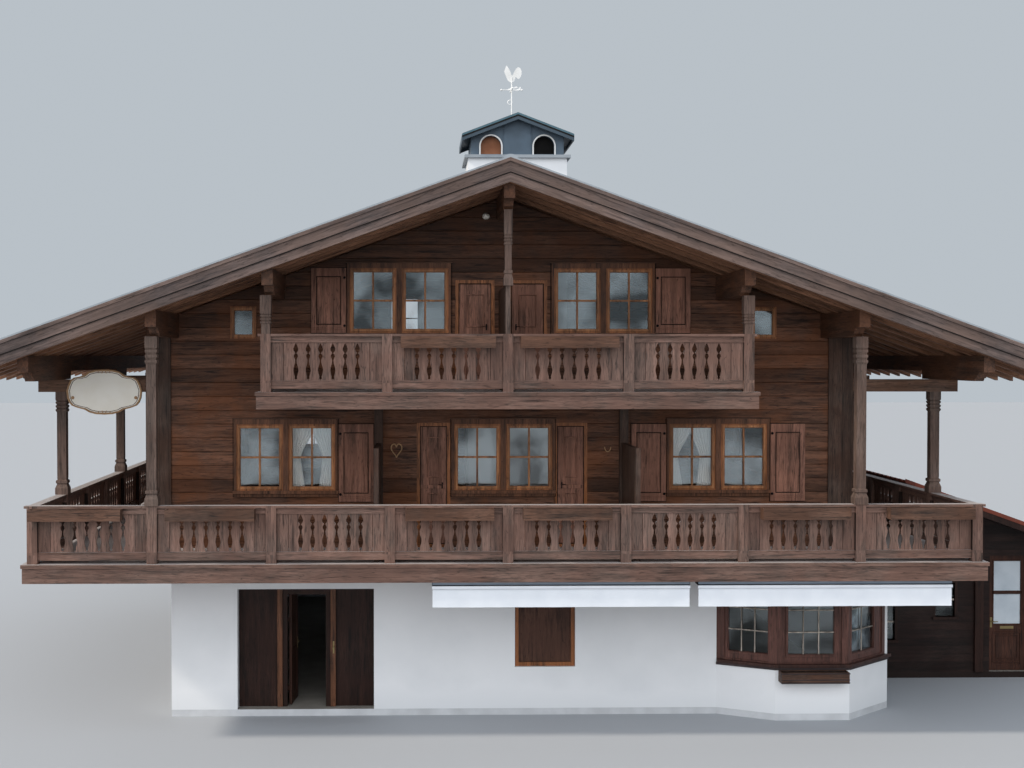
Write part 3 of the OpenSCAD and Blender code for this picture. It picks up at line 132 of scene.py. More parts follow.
def mix(tree, factor, a, b, blend="MIX"):
    """Colour a towards b by factor."""
    made = add(tree, "ShaderNodeMix", {"data_type": "RGBA", "blend_type": blend})
    for socket, value in ((made.inputs["Factor"], factor), (made.inputs[6], a), (made.inputs[7], b)):
        if isinstance(value, bpy.types.NodeSocket):
            tree.links.new(value, socket)
        elif isinstance(value, str):
            socket.default_value = linear(value)
        else:
            socket.default_value = value
    return made.outputs[2]


def calc(tree, operation, a, b=0.0, c=0.0):
    """One Math node."""
    made = add(tree, "ShaderNodeMath", {"operation": operation}, {0: a, 1: b, 2: c})
    return made.outputs[0]


def stripes(tree, coordinate, pitch, shift, width):
    """Board number, and 1 in the joint between two boards, along one coordinate."""
    place_in = calc(tree, "DIVIDE", calc(tree, "SUBTRACT", coordinate, shift), pitch)
    number = calc(tree, "FLOOR", place_in)
    edge = calc(tree, "PINGPONG", place_in, 0.5)
    return number, calc(tree, "LESS_THAN", edge, width / pitch / 2)


def looks_up(tree):
    """1 where the surface looks up, and 0 on its sides and underside."""
    normal = add(tree, "ShaderNodeNewGeometry").outputs["Normal"]
    height = add(tree, "ShaderNodeSeparateXYZ", None, {"Vector": normal}).outputs[2]
    return calc(tree, "GREATER_THAN", height, 0.6)


def finish(tree, shader, colour, relief, strength, distance):
    """Gives a shader its colour, and a relief as deep as distance in metres, weakened by strength."""
    tree.links.new(colour, shader.inputs["Base Color"])
    bump = add(tree, "ShaderNodeBump", None, {"Height": relief, "Strength": strength, "Distance": distance})
    tree.links.new(bump.outputs["Normal"], shader.inputs["Normal"])


GRAIN = {"X": (1.1, 15, 15), "Y": (15, 1.1, 15), "Z": (15, 15, 1.1), "S": (1.1, 15, 15)}
AXIS = {"X": 0, "Y": 1, "Z": 2}
SHADOW_GAP = "#0c0907"
# Sets the random tones of one railing bay apart from the next bay's, and of one rail from the next
BAY_STRIDE, RAILS_A_METRE = 17.3, 6.0
# Moves the fibres of each board by a random stretch up to this, so that no two boards are alike
BOARD_SHIFT = 31.0


def timber(name, dark, light, grain, boards=None, bays=None, worn="#766a62", wear=0.35, rough=0.62,
           tones=(0.78, 1.15), warm_glow=None, heights=None, top=None, rafters=None):
    """Stained spruce: fibres along the grain (X, Y, Z, or S down the roof's two slopes), fine splits,
    knots, a tone for each board, greyed worn patches, and warmer patches, which on the logs are
    painted light: the warm glow of bounced sunlight.

    heights is (scale, stops): tones against height. On the log wall they darken the wall up under the eaves:
    painted shade of the roof, and in part stain that the roof keeps from the weather.
    top is the colour of upward faces: weathered grey, and lighter still as painted light from the sky and sun
    above.
    rafters is a depth under the roof's surface: deeper wood is rafters, with grain down the slope.
    boards is (axis, pitch, shift, joint width). bays is (axis, length, shift, newel, base, top): the
    boards are counted anew in each bay, and stand upright between base and top and on the newels.
    """
    material, tree, shader = new_material(name, rough, sheen=0.3)
    coords = add(tree, "ShaderNodeTexCoord").outputs["Object"]
    parts = add(tree, "ShaderNodeSeparateXYZ", None, {"Vector": coords}).outputs
    fibres = place(tree, GRAIN[grain])
    if grain == "S" or rafters:
        reach = calc(tree, "ABSOLUTE", parts[0])
        level = calc(tree, "ADD", parts[2], calc(tree, "MULTIPLY", reach, ROOF_FALL))
        slope = add(tree, "ShaderNodeCombineXYZ", None, {0: reach, 1: parts[1], 2: level}).outputs[0]
        sloped = add(tree, "ShaderNodeMapping", None, {"Vector": slope, "Scale": GRAIN["S"]})
        deep = calc(tree, "LESS_THAN", level, RIDGE_Z - rafters) if rafters else 1.0
        fibres = mix(tree, deep, fibres, sloped.outputs["Vector"])
    along, number, joint = None, 0.0, 0.0
    if bays:
        axis, length, shift, newel, low, high = bays
        bay = calc(tree, "DIVIDE", calc(tree, "SUBTRACT", parts[AXIS[axis]], shift), length)
        bay_number = calc(tree, "FLOOR", bay)
        along = calc(tree, "SUBTRACT", calc(tree, "MULTIPLY", calc(tree, "FRACT", bay), length), newel)
        post = calc(tree, "MAXIMUM", calc(tree, "LESS_THAN", along, 0.0),
                    calc(tree, "GREATER_THAN", along, length - 2 * newel))
        upright = calc(tree, "MULTIPLY", calc(tree, "GREATER_THAN", parts[2], low),
                       calc(tree, "LESS_THAN", parts[2], high))
        fibres = mix(tree, calc(tree, "MAXIMUM", upright, post), fibres, place(tree, GRAIN["Z"]))
    if boards:
        axis, pitch, shift, width = boards
        number, joint = stripes(tree, along or parts[AXIS[axis]], pitch, shift, width)
    if rafters:
        shallow = calc(tree, "SUBTRACT", 1.0, deep)
        number = calc(tree, "MULTIPLY", number, shallow)
        joint = calc(tree, "MULTIPLY", joint, shallow)
    if bays:
        between = calc(tree, "MULTIPLY", upright, calc(tree, "SUBTRACT", 1.0, post))
        joint = calc(tree, "MULTIPLY", joint, between)
        number = calc(tree, "ADD", number, calc(tree, "MULTIPLY", bay_number, BAY_STRIDE))
        number = calc(tree, "MULTIPLY", number, calc(tree, "MAXIMUM", upright, post))
        above = calc(tree, "SUBTRACT", parts[2], high)
        rail = calc(tree, "FLOOR", calc(tree, "MULTIPLY", above, RAILS_A_METRE))
        rail = calc(tree, "MULTIPLY", calc(tree, "SUBTRACT", 1.0, upright), rail)
        number = calc(tree, "ADD", number, rail)
    if boards:
        chance = add(tree, "ShaderNodeTexWhiteNoise", {"noise_dimensions": "1D"}, {"W": number}).outputs
        offset = add(tree, "ShaderNodeVectorMath", {"operation": "SCALE"},
                     {0: chance["Color"], "Scale": BOARD_SHIFT})
        fibres = add(tree, "ShaderNodeVectorMath", None, {0: fibres, 1: offset.outputs[0]}).outputs[0]
        tone = ramp(tree, chance["Value"], [(0.0, tones[0]), (1.0, tones[1])])
    else:
        patch = add(tree, "ShaderNodeTexNoise", None, {"Vector": coords, "Scale": 1.1, "Detail": 1.0})
        tone = ramp(tree, patch.outputs["Fac"], [(0.3, 0.85), (0.7, 1.12)])
    streaks = add(tree, "ShaderNodeTexNoise", None,
                  {"Vector": fibres, "Scale": 1.6, "Detail": 8.0, "Roughness": 0.68, "Distortion": 0.6})
    fine = add(tree, "ShaderNodeTexNoise", None,
               {"Vector": fibres, "Scale": 7.0, "Detail": 4.0, "Roughness": 0.6}).outputs["Fac"]
    cracks = add(tree, "ShaderNodeTexNoise", None,
                 {"Vector": fibres, "Scale": 0.9, "Detail": 2.0, "Distortion": 0.2})
    bands = add(tree, "ShaderNodeTexNoise", None,
                {"Vector": fibres, "Scale": 0.7, "Detail": 3.0, "Roughness": 0.6}).outputs["Fac"]
    knots = add(tree, "ShaderNodeTexVoronoi", None, {"Vector": fibres, "Scale": 0.42, "Randomness": 1.0})
    knot = ramp(tree, knots.outputs["Distance"], [(0.0, 1.0), (0.08, 0.75), (0.14, 0.0)])
    colour = ramp(tree, streaks.outputs["Fac"], [(0.36, dark), (0.48, light), (0.57, light), (0.66, dark)])
    colour = mix(tree, 1.0, colour, ramp(tree, bands, [(0.36, 0.55), (0.64, 1.42)]), "MULTIPLY")
    colour = mix(tree, 1.0, colour, ramp(tree, fine, [(0.36, 0.72), (0.64, 1.24)]), "MULTIPLY")
    patches = add(tree, "ShaderNodeTexNoise", None,
                  {"Vector": place(tree, (0.9, 0.9, 0.9)), "Scale": 1.3, "Detail": 4.0, "Roughness": 0.6})
    patches = patches.outputs["Fac"]
    # Warmer patches: lighter tone at random; on the logs they are painted light, a warm glow of bounced
    # sunlight
    glow_factor = ramp(tree, patches, [(0.4, 1.0), (0.55, 0.0)])
    colour = mix(tree, calc(tree, "MULTIPLY", glow_factor, 0.6), colour, warm_glow or light)
    worn_factor = calc(tree, "MULTIPLY", ramp(tree, patches, [(0.42, 0.1), (0.62, 1.0)]), wear)
    colour = mix(tree, calc(tree, "MULTIPLY", worn_factor, fine), colour, worn)
    colour = mix(tree, calc(tree, "MULTIPLY", knot, 0.7), colour, SHADOW_GAP)
    split = ramp(tree, cracks.outputs["Fac"], [(0.488, 0.0), (0.5, 1.0), (0.512, 0.0)])
    colour = mix(tree, calc(tree, "MULTIPLY", split, 0.55), colour, SHADOW_GAP)
    colour = mix(tree, 1.0, colour, tone, "MULTIPLY")
    # Tones against height; on the log wall, painted shade that darkens it up under the eaves
    if heights:
        full, stops = heights
        shade = ramp(tree, calc(tree, "DIVIDE", parts[2], full), stops)
        colour = mix(tree, 1.0, colour, shade, "MULTIPLY")
    # Upward faces go pale: weathered, and painted light from above
    if top:
        bleached_and_lit = calc(tree, "MULTIPLY", looks_up(tree), calc(tree, "ADD", fine, 0.2))
        colour = mix(tree, bleached_and_lit, colour, top)
    relief = fine
    if boards:
        colour = mix(tree, calc(tree, "MULTIPLY", joint, 0.85), colour, SHADOW_GAP)
        relief = calc(tree, "SUBTRACT", relief, calc(tree, "MULTIPLY", joint, 2.0))
    finish(tree, shader, colour, relief, 0.35, 0.006)
    return material


def plaster(name, colour, stained, grain=60.0, depth=0.004):
    """Trowelled lime plaster or concrete: fine grain, soft clouds, a damp band near the ground."""
    material, tree, shader = new_material(name, 0.9)
    coords = place(tree)
    clouds = add(tree, "ShaderNodeTexNoise", None, {"Vector": coords, "Scale": 0.9, "Detail": 5.0})
    grains = add(tree, "ShaderNodeTexNoise", None, {"Vector": coords, "Scale": grain, "Detail": 4.0})
    height = add(tree, "ShaderNodeSeparateXYZ", None, {"Vector": coords}).outputs["Z"]
    damp = ramp(tree, height, [(0.1, 0.55), (0.55, 0.0)])
    cloudy = ramp(tree, clouds.outputs["Fac"], [(0.4, 0.0), (0.75, 0.45)])
    colour = mix(tree, calc(tree, "MAXIMUM", cloudy, damp), colour, stained)
    finish(tree, shader, colour, grains.outputs["Fac"], 0.4, depth)
    return material


def painted(name, colour, worn, rough=0.45, metallic=0.0, scale=2.5):
    """Paint, powder coat or sheet: one colour with faint clouds and small relief."""
    material, tree, shader = new_material(name, rough, metallic)
    clouds = add(tree, "ShaderNodeTexNoise", None, {"Vector": place(tree), "Scale": scale, "Detail": 5.0})
    colour = mix(tree, ramp(tree, clouds.outputs["Fac"], [(0.42, 0.0), (0.72, 0.7)]), colour, worn)
    finish(tree, shader, colour, clouds.outputs["Fac"], 0.08, 0.003)
    return material


def faced(name, top, side, rough=0.6, metallic=0.0, beyond=None):
    """One colour where the surface looks up and another on its sides and underside, both clouded.

    beyond is (x, colour): the sides right of x have that colour.
    """
    material, tree, shader = new_material(name, rough, metallic)
    coords = place(tree)
    clouds = add(tree, "ShaderNodeTexNoise", None, {"Vector": coords, "Scale": 2.5, "Detail": 6.0})
    if beyond:
        right = add(tree, "ShaderNodeSeparateXYZ", None, {"Vector": coords}).outputs[0]
        side = mix(tree, calc(tree, "GREATER_THAN", right, beyond[0]), side, beyond[1])
    colour = mix(tree, looks_up(tree), side, top)
    shade = ramp(tree, clouds.outputs["Fac"], [(0.35, 0.86), (0.7, 1.08)])
    finish(tree, shader, mix(tree, 1.0, colour, shade, "MULTIPLY"), clouds.outputs["Fac"], 0.1, 0.003)
    return material


def tiles(name, colour, darker, lichen, rows, columns):
    """Roof tiles: one tone a tile from its row and column, and pale lichen spots. Rows run along X."""
    material, tree, shader = new_material(name, 0.78)
    coords = add(tree, "ShaderNodeTexCoord").outputs["Object"]
    parts = add(tree, "ShaderNodeSeparateXYZ", None, {"Vector": coords}).outputs
    row = calc(tree, "FLOOR", calc(tree, "DIVIDE", parts[0], rows))
    column = calc(tree, "FLOOR", calc(tree, "DIVIDE", parts[1], columns))
    cell = add(tree, "ShaderNodeCombineXYZ", None, {0: row, 1: column})
    chance = add(tree, "ShaderNodeTexWhiteNoise", {"noise_dimensions": "2D"}, {"Vector": cell.outputs[0]})
    spots = add(tree, "ShaderNodeTexNoise", None,
                {"Vector": coords, "Scale": 9.0, "Detail": 6.0, "Roughness": 0.7})
    colour = mix(tree, chance.outputs["Value"], colour, darker)
    colour = mix(tree, ramp(tree, spots.outputs["Fac"], [(0.58, 0.0), (0.72, 0.6)]), colour, lichen)
    finish(tree, shader, colour, spots.outputs["Fac"], 0.3, 0.004)
    return material


# The ground floor's panes end below this height, and throw back this share of what the upper ones do: they
# are cleaner, and the smaller share is also painted shade from the deck above them
SHADED_PANES_TOP, SHADED_PANES_SHARE = 3.0, 0.38


def clear_glass(name, mirror, thin, thick):
    """Window glass: clear in front and a mirror at a slant; slight waves and a thin uneven film on it.

    The alpha is the share of light that the two faces throw back; the rest passes straight through.
    The ground floor's panes are newer and cleaner and throw back less; this also paints the shade that the
    deck above casts on them.
    """
    material, tree, shader = new_material(name, 0.03, 1.0)
    waves = add(tree, "ShaderNodeTexNoise", None, {"Vector": place(tree), "Scale": 1.4, "Detail": 1.0})
    bump = add(tree, "ShaderNodeBump", None,
               {"Height": waves.outputs["Fac"], "Strength": 0.14, "Distance": 0.05})
    film = add(tree, "ShaderNodeTexNoise", None, {"Vector": place(tree), "Scale": 1.3, "Detail": 2.0})
    fresnel = add(tree, "ShaderNodeFresnel", None, {"IOR": 1.52, "Normal": bump.outputs["Normal"]})
    height = add(tree, "ShaderNodeSeparateXYZ", None, {"Vector": place(tree)}).outputs[2]
    above_deck = calc(tree, "GREATER_THAN", height, SHADED_PANES_TOP)
    age_and_shade = calc(tree, "MULTIPLY_ADD", above_deck, 1 - SHADED_PANES_SHARE, SHADED_PANES_SHARE)
    share = calc(tree, "MULTIPLY", calc(tree, "ADD", fresnel.outputs[0], 0.035), age_and_shade)
    share = calc(tree, "MULTIPLY", share, ramp(tree, film.outputs["Fac"], [(0.4, thin), (0.62, thick)]))
    shader.inputs["Base Color"].default_value = linear(mirror)
    tree.links.new(share, shader.inputs["Alpha"])
    tree.links.new(bump.outputs["Normal"], shader.inputs["Normal"])
    return material


# Radians a metre: threads about 7 mm apart, coarser than the real cloth's so that they show
THREAD_TURN = 900.0


def cloth(name, colour, shade):
    """Woven cloth: fine crossing threads and faint clouds; its pattern follows the UV map in metres."""
    material, tree, shader = new_material(name, 0.85)
    uv = add(tree, "ShaderNodeTexCoord").outputs["UV"]
    parts = add(tree, "ShaderNodeSeparateXYZ", None, {"Vector": uv}).outputs
    across = calc(tree, "SINE", calc(tree, "MULTIPLY", parts[0], THREAD_TURN))
    along = calc(tree, "SINE", calc(tree, "MULTIPLY", parts[1], THREAD_TURN))
    weave = calc(tree, "MULTIPLY", across, along)
    clouds = add(tree, "ShaderNodeTexNoise", None, {"Vector": uv, "Scale": 3.0, "Detail": 4.0})
    colour = mix(tree, ramp(tree, clouds.outputs["Fac"], [(0.4, 0.0), (0.75, 0.6)]), colour, shade)
    finish(tree, shader, colour, weave, 0.15, 0.0005)
    return material


def earth(name):
    """Potting earth: dark crumbs."""
    material, tree, shader = new_material(name, 0.95)
    crumbs = add(tree, "ShaderNodeTexNoise", None, {"Vector": place(tree), "Scale": 45.0, "Detail": 6.0})
    colour = ramp(tree, crumbs.outputs["Fac"], [(0.35, "#17110d"), (0.7, "#3d2f25")])
    finish(tree, shader, colour, crumbs.outputs["Fac"], 0.8, 0.01)
    return material


# Squared logs under a dark stain: the grain and a tone for each log show through; painted shade of the roof
# darkens the wall below the eaves, and warm patches are a painted glow of bounced sunlight
LOG = ("#2a1912", "#664534")
log_x = timber("dark_stained_spruce_logs_x", *LOG, "X", boards=("Z", COURSE_H, FIRST_Z, 0.0), wear=0.35,
               worn="#5a4a41", tones=(0.6, 1.3), warm_glow="#6b4026",
               heights=(10.0, [(0.3, 1.0), (0.56, 1.05), (0.585, 1.0), (0.8, 0.85), (0.95, 0.65)]))
log_y = timber("dark_stained_spruce_logs_y", *LOG, "Y", boards=("Z", COURSE_H, FIRST_Z, 0.0), wear=0.35,
               worn="#5a4a41", tones=(0.6, 1.3), warm_glow="#6b4026")
beam_y = timber("dark_stained_spruce_beams", "#2b190f", "#5c3c2a", "Y", wear=0.3)
upright = timber("dark_stained_spruce_boards", "#1e130d", "#432f25", "Z", boards=("X", 0.16, 0.02, 0.004),
                 wear=0.4)
post_wood = timber("stained_spruce_posts", "#33251f", "#604d44", "Z", wear=0.6)
# Railings, decks and bargeboards: stain worn by the weather, and tops pale grey, partly bleached and partly
# painted light where sky and sun fall on them
BALCONY = ("#382923", "#75594e")
WEATHERED_AND_LIT_TOP = "#bdb8b6"
LOWER_SPAN = (FIRST_Z + BOARDS_FOOT, FIRST_Z + BOARDS_HEAD)
UPPER_SPAN = (UPPER_Z + BOARDS_FOOT, UPPER_Z + BOARDS_HEAD)
front_rail = timber("weathered_spruce_front_railing", *BALCONY, "X", wear=0.6, top=WEATHERED_AND_LIT_TOP,
                    boards=("X", (LOWER_BAY - NEWEL_W) / FRONT_BOARDS, 0.0, 0.004),
                    bays=("X", LOWER_BAY, 0.0, NEWEL_W / 2, *LOWER_SPAN))
side_rail = timber("weathered_spruce_side_railings", *BALCONY, "Y", wear=0.4, top=WEATHERED_AND_LIT_TOP,
                   boards=("Y", SIDE_CLEAR / SIDE_BOARDS, 0.0, 0.004),
                   bays=("Y", SIDE_BAY, SIDE_START, NEWEL_W / 2, *LOWER_SPAN))
upper_rail = timber("weathered_spruce_upper_railing", *BALCONY, "X", wear=0.6, top=WEATHERED_AND_LIT_TOP,
                    boards=("X", (UPPER_BAY - NEWEL_W) / FRONT_BOARDS, 0.0, 0.004),
                    bays=("X", UPPER_BAY, 0.0, NEWEL_W / 2, *UPPER_SPAN))
deck_wood = timber("weathered_spruce_decks", *BALCONY, "X", boards=("Y", 0.14, 0.0, 0.005), wear=0.6,
                   top=WEATHERED_AND_LIT_TOP)
barge_wood = timber("weathered_spruce_bargeboards", "#3a2e2a", "#6c5a52", "S", wear=0.6, worn="#6b6464",
                    top=WEATHERED_AND_LIT_TOP)
cross_wood = timber("weathered_spruce_cross_beams", "#3a271d", "#6a4d3c", "X", wear=0.5)
soffit_wood = timber("sawn_spruce_soffit", "#4a3022", "#8a634b", "Y", boards=("X", 0.14, 0.0, 0.004),
                     wear=0.1, rafters=0.135)
# Frames and sashes: smooth glazed larch, redder and shinier than the walls
larch = timber("glazed_larch_frames", "#52301c", "#925c38", "Z", wear=0.1, rough=0.42)
larch_light = timber("glazed_larch_sashes", "#68402a", "#a06d47", "Z", wear=0.05, rough=0.38)
casing_wood = timber("dark_stained_casings", "#361d10", "#64412d", "Z", wear=0.15, rough=0.5)
bay_wood = timber("red_brown_stained_bay", "#35201a", "#62423a", "Z", wear=0.1, rough=0.45,
                  heights=(10.0, [(0.0994, 0.42), (0.1, 1.0)]))
sill_wood = timber("dark_stained_sills", "#201a1a", "#3c3334", "X", wear=0.2)
bay_bar_wood = timber("pale_painted_glazing_bars", "#7d746a", "#aca398", "Z", wear=0.1, rough=0.5)
dark_board = timber("dark_stained_panels", "#110907", "#2c1a14", "Z", wear=0.05)
flush_board = timber("dark_stained_weatherboards", "#0d0706", "#21130f", "X", boards=("Z", 0.16, 0.0, 0.005),
                     wear=0.1)
shutter_wood = timber("red_brown_stained_shutters", "#4a2d20", "#8b6150", "Z", wear=0.25,
                      heights=(10.0, [(0.299, 0.35), (0.3, 1.0)]))
wing_door_wood = timber("dark_red_stained_door", "#1f100c", "#40261c", "Z", wear=0.1)
box_wood = timber("dark_stained_flower_boxes", "#2d1c14", "#5b4032", "X", wear=0.3)
floor_boards = timber("spruce_floor_boards", "#7a5f45", "#a58563", "Y", boards=("X", 0.15, 0.0, 0.003),
                      wear=0.0)
# Matt white plaster and grey concrete, with a fine grain and a damp band near the ground
lime = plaster("white_lime_plaster", "#f0f2f4", "#d9dde0")
concrete = plaster("trowelled_concrete", "#b3b1ab", "#8f8c85", 90.0, 0.003)
# Matt tiles, each of its own tone, with pale lichen
grey_tile = tiles("grey_roof_tiles", "#4a4d51", "#33363a", "#7d8076", TILE_ROW, GREY_TILE_W)
red_tile = tiles("red_clay_tiles", "#864432", "#5f3127", "#86705f", TILE_ROW, RED_TILE_W)
# Folded sheet: smooth, with the soft shine of old paint over metal
slate_blue = painted("slate_blue_sheet_cladding", "#5a6a78", "#4b5863", 0.5, 0.1)
green_sheet = faced("green_grey_roofing_sheet", "#4b626e", "#4a5863", 0.4, 0.3)
teal_sheet = painted("green_grey_folded_edge", "#4d6a76", "#63808a", 0.4, 0.2)
slab_finish = faced("plastered_slab_edge", "#8f8b84", "#cdd0d3", 0.85,
                    beyond=(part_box("ground_side_walls")[1].x + 0.01, "#241a16"))
zinc = painted("weathered_zinc_sheet", "#a6adb3", "#8a9197", 0.5, 0.3)
# Powder coat and paint: one even colour with a soft shine
white_coat = painted("white_powder_coat", "#e2e6ec", "#d3d8df", 0.35)
grey_coat = painted("grey_blue_powder_coat", "#8793a1", "#76818e", 0.38)
white_paint = painted("white_painted_iron", "#f0f0ee", "#d8d8d4", 0.4)
cream_paint = painted("cream_sign_paint", "#fdf9ee", "#f3ecdc", 0.5)
gilt_paint = painted("tan_moulding_paint", "#b48f68", "#8a6746", 0.45)
sign_line = painted("dark_brown_line_paint", "#5b3a26", "#6d4a33", 0.5)
# Black without shine for painted shade, forged iron with a dull one, and brass that has worn
black_shade = painted("painted_shade_black", "#0f0d0c", "#1b1816", 0.8)
black_iron = painted("black_forged_iron", "#1c1c1e", "#2a2a2c", 0.5, 0.8)
# Near-black lines of painted shadow, at the edges of trims, in grooves and between bargeboards
shadow_gap = painted("painted_shadow_lines", "#0e0a08", "#17110e", 0.9)
brass = painted("worn_brass", "#9c8a62", "#7b6a48", 0.4, 0.8)
# Clear panes that mirror the pale surroundings, and milky ones that hide what is behind them
glass = clear_glass("clear_window_glass", "#dfe8ea", 0.7, 3.6)
milk_glass = painted("milky_door_glass", "#c3ccd3", "#aab5be", 0.2)
# Matt cloth, crumbly earth and fired clay
awning_cloth = cloth("white_awning_cloth", "#e6ebf1", "#d9dfe7")
curtain_cloth = cloth("white_voile_curtain", "#f3f1ec", "#dedbd4")
soil = earth("dark_potting_earth")
flue_clay = painted("orange_brown_clay_flue", "#b0785a", "#8f5c42", 0.85, scale=4.0)

CAD_FINISH = {
    slab_finish: ["ground_slab"],
    concrete: ["first_floor"],
    lime: ["ground_front_wall", "entrance_lintel", "ground_side_walls", "ground_rear_wall", "bay_parapet",
           "chimney_stack"],
    log_x: ["front_log_wall", "rear_log_wall"],
    log_y: ["side_log_walls"],
    beam_y: ["purlins", "consoles"],
    barge_wood: ["bargeboards"],
    cross_wood: ["cross_beams"],
    upright: ["corner_boards", "balcony_partitions"],
    post_wood: ["gable_posts", "side_posts"],
    front_rail: ["lower_front_railing"],
    side_rail: ["lower_side_railings"],
    upper_rail: ["upper_railing"],
    deck_wood: ["lower_deck", "upper_deck"],
    soffit_wood: ["roof_frame_left", "roof_frame_right"],
    larch: ["window_frames"],
    bay_wood: ["bay_frame"],
    casing_wood: ["window_trim"],
    dark_board: ["entrance_front"],
    flush_board: ["wing_walls", "wing_lintel"],
    shutter_wood: ["shutters", "balcony_doors"],
    wing_door_wood: ["entrance_door", "wing_door"],
    box_wood: ["flower_boxes"],
    floor_boards: ["upper_floor"],
    grey_tile: ["covering_left", "covering_right"],
    red_tile: ["wing_roof"],
    slate_blue: ["chimney_lantern"],
    green_sheet: ["chimney_roof"],
    zinc: ["chimney_slab"],
    white_paint: ["weathervane_stand", "weathercock"],
    white_coat: ["awnings"],
    cream_paint: ["sign_board"],
    glass: ["glass_panes"],
    milk_glass: ["wing_door_panes"],
}
for finish, nodes in CAD_FINISH.items():
    for name in nodes:
        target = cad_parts[name].data.materials
        for index in range(max(len(target), 1)):
            if index < len(target):
                target[index] = finish
            else:
                target.append(finish)


# Meshes

def piece(name, points, faces, material, body=HOUSE, slot=None, smooth=False, bevel=0.0):
    """One mesh piece that moves with a body of the frame, its faces turned outwards."""
    mesh = bpy.data.meshes.new(name)
    mesh.from_pydata(points, [], faces)
    shell = bmesh.new()
    shell.from_mesh(mesh)
    bmesh.ops.recalc_face_normals(shell, faces=shell.faces)
    shell.to_mesh(mesh)
    shell.free()
    mesh.materials.append(material)
    if smooth:
        mesh.polygons.foreach_set("use_smooth", [True] * len(mesh.polygons))
    made = bpy.data.objects.new(name, mesh)
    bpy.context.scene.collection.objects.link(made)
    if bevel:
        edge = made.modifiers.new("eased edges", "BEVEL")
        edge.width = bevel
        edge.segments = 1
        edge.limit_method = "ANGLE"
    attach(made, body)
    return made


def quads(number):
    """Faces between the neighbours of a grid of point numbers."""
    corners = [number[:-1, :-1], number[:-1, 1:], number[1:, 1:], number[1:, :-1]]
    return np.stack(corners, axis=2).reshape(-1, 4)


CUBE = [(0, 3, 2, 1), (4, 5, 6, 7), (0, 1, 5, 4), (1, 2, 6, 5), (2, 3, 7, 6), (3, 0, 4, 7)]


class Builder:
    """Gathers the points and faces of one piece."""

    def __init__(self):
        self.points, self.faces = [], []

    def add(self, points, faces):
        start = len(self.points)
        self.points += np.asarray(points, float).tolist()
        self.faces += [tuple(start + i for i in f) for f in faces]

    def box(self, lo, hi):
        """An upright box between two corners."""
        self.block((0, 0, 0), (1, 0, 0), (0, 1, 0), lo[0], hi[0], lo[1], hi[1], lo[2], hi[2])

    def block(self, origin, right, depth, u0, u1, d0, d1, v0, v1):
        """A box in a frame turned about the vertical: u along right, d along depth, v upwards."""
        o, r, d, k = (np.array(a, float) for a in (origin, right, depth, (0, 0, 1)))
        ring = [(u0, d0), (u1, d0), (u1, d1), (u0, d1)]
        self.add([o + r * u + d * w + k * v for v in (v0, v1) for u, w in ring], CUBE)

    def tube(self, start, end, radius, sides=12):
        """A rod between two points: circles of the radius at both ends."""
        a, b = np.array(start, float), np.array(end, float)
        axis = (b - a) / np.linalg.norm(b - a)
        side = np.cross(axis, (0, 0, 1) if abs(axis[2]) < 0.9 else (1, 0, 0))
        side /= np.linalg.norm(side)
        other = np.cross(axis, side)
        turns = np.linspace(0, 2 * math.pi, sides, endpoint=False)
        ring = np.outer(np.cos(turns), side) * radius + np.outer(np.sin(turns), other) * radius
        faces = [(i, (i + 1) % sides, sides + (i + 1) % sides, sides + i) for i in range(sides)]
        faces += [tuple(range(sides - 1, -1, -1)), tuple(range(sides, 2 * sides))]
        self.add(np.vstack([ring + a, ring + b]), faces)

    def grid(self, surface, close=False, caps=False):
        """A surface given as rows of points. Points that fall together, at a seam or pole, become one.

        close joins the last column to the first, and caps closes the first and the last row.
        """
        surface = np.asarray(surface, float)
        rows, columns = surface.shape[:2]
        number = np.arange(rows * columns).reshape(rows, columns)
        if close:
            number = np.column_stack([number, number[:, :1]])
        faces = quads(number).tolist()
        if caps:
            faces += [number[0, ::-1].tolist(), number[-1].tolist()]
        points = surface.reshape(-1, 3)
        _, first, same = np.unique(np.round(points, 6), axis=0, return_index=True, return_inverse=True)
        leader = first[same.ravel()].tolist()
        faces = [tuple(dict.fromkeys(leader[i] for i in face)) for face in faces]
        faces = [face for face in faces if len(face) > 2]
        used = sorted({i for face in faces for i in face})
        order = dict(zip(used, range(len(used))))
        self.add(points[used], [tuple(order[i] for i in face) for face in faces])

    def turned(self, centre, profile, sides=14, flatten=1.0):
        """A turned knob that looks to the front: circles whose radius follows the (out, radius) profile."""
        out, radius = np.array(profile, float).T[:, :, None]
        turns = np.linspace(0, 2 * math.pi, sides, endpoint=False)[None, :]
        x, y, z = centre
        self.grid(np.stack([x + radius * np.cos(turns), y - out + 0 * turns,
                            z - radius * flatten * np.sin(turns)], axis=2), close=True, caps=True)

    def made(self, name, material, **rest):
        return piece(name, self.points, self.faces, material, **rest)


def islands(node):
    """The points of each separate solid of a CAD node, as arrays."""
    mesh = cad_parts[node].data
    points = np.empty(len(mesh.vertices) * 3)
    mesh.vertices.foreach_get("co", points)
    points = points.reshape(-1, 3)
    _, merged = np.unique(np.round(points, 4), axis=0, return_inverse=True)
    merged = merged.ravel()
    leader = np.arange(merged.max() + 1)
    edges = np.empty(len(mesh.edges) * 2, int)
    mesh.edges.foreach_get("vertices", edges)
    edges = merged[edges.reshape(-1, 2)]
    changed = True
    while changed:
        low = np.minimum(leader[edges[:, 0]], leader[edges[:, 1]])
        before = leader.copy()
        np.minimum.at(leader, edges[:, 0], low)
        np.minimum.at(leader, edges[:, 1], low)
        leader = leader[leader]
        changed = bool((leader != before).any())
    owner = leader[merged]
    return [points[owner == k] for k in np.unique(owner)]


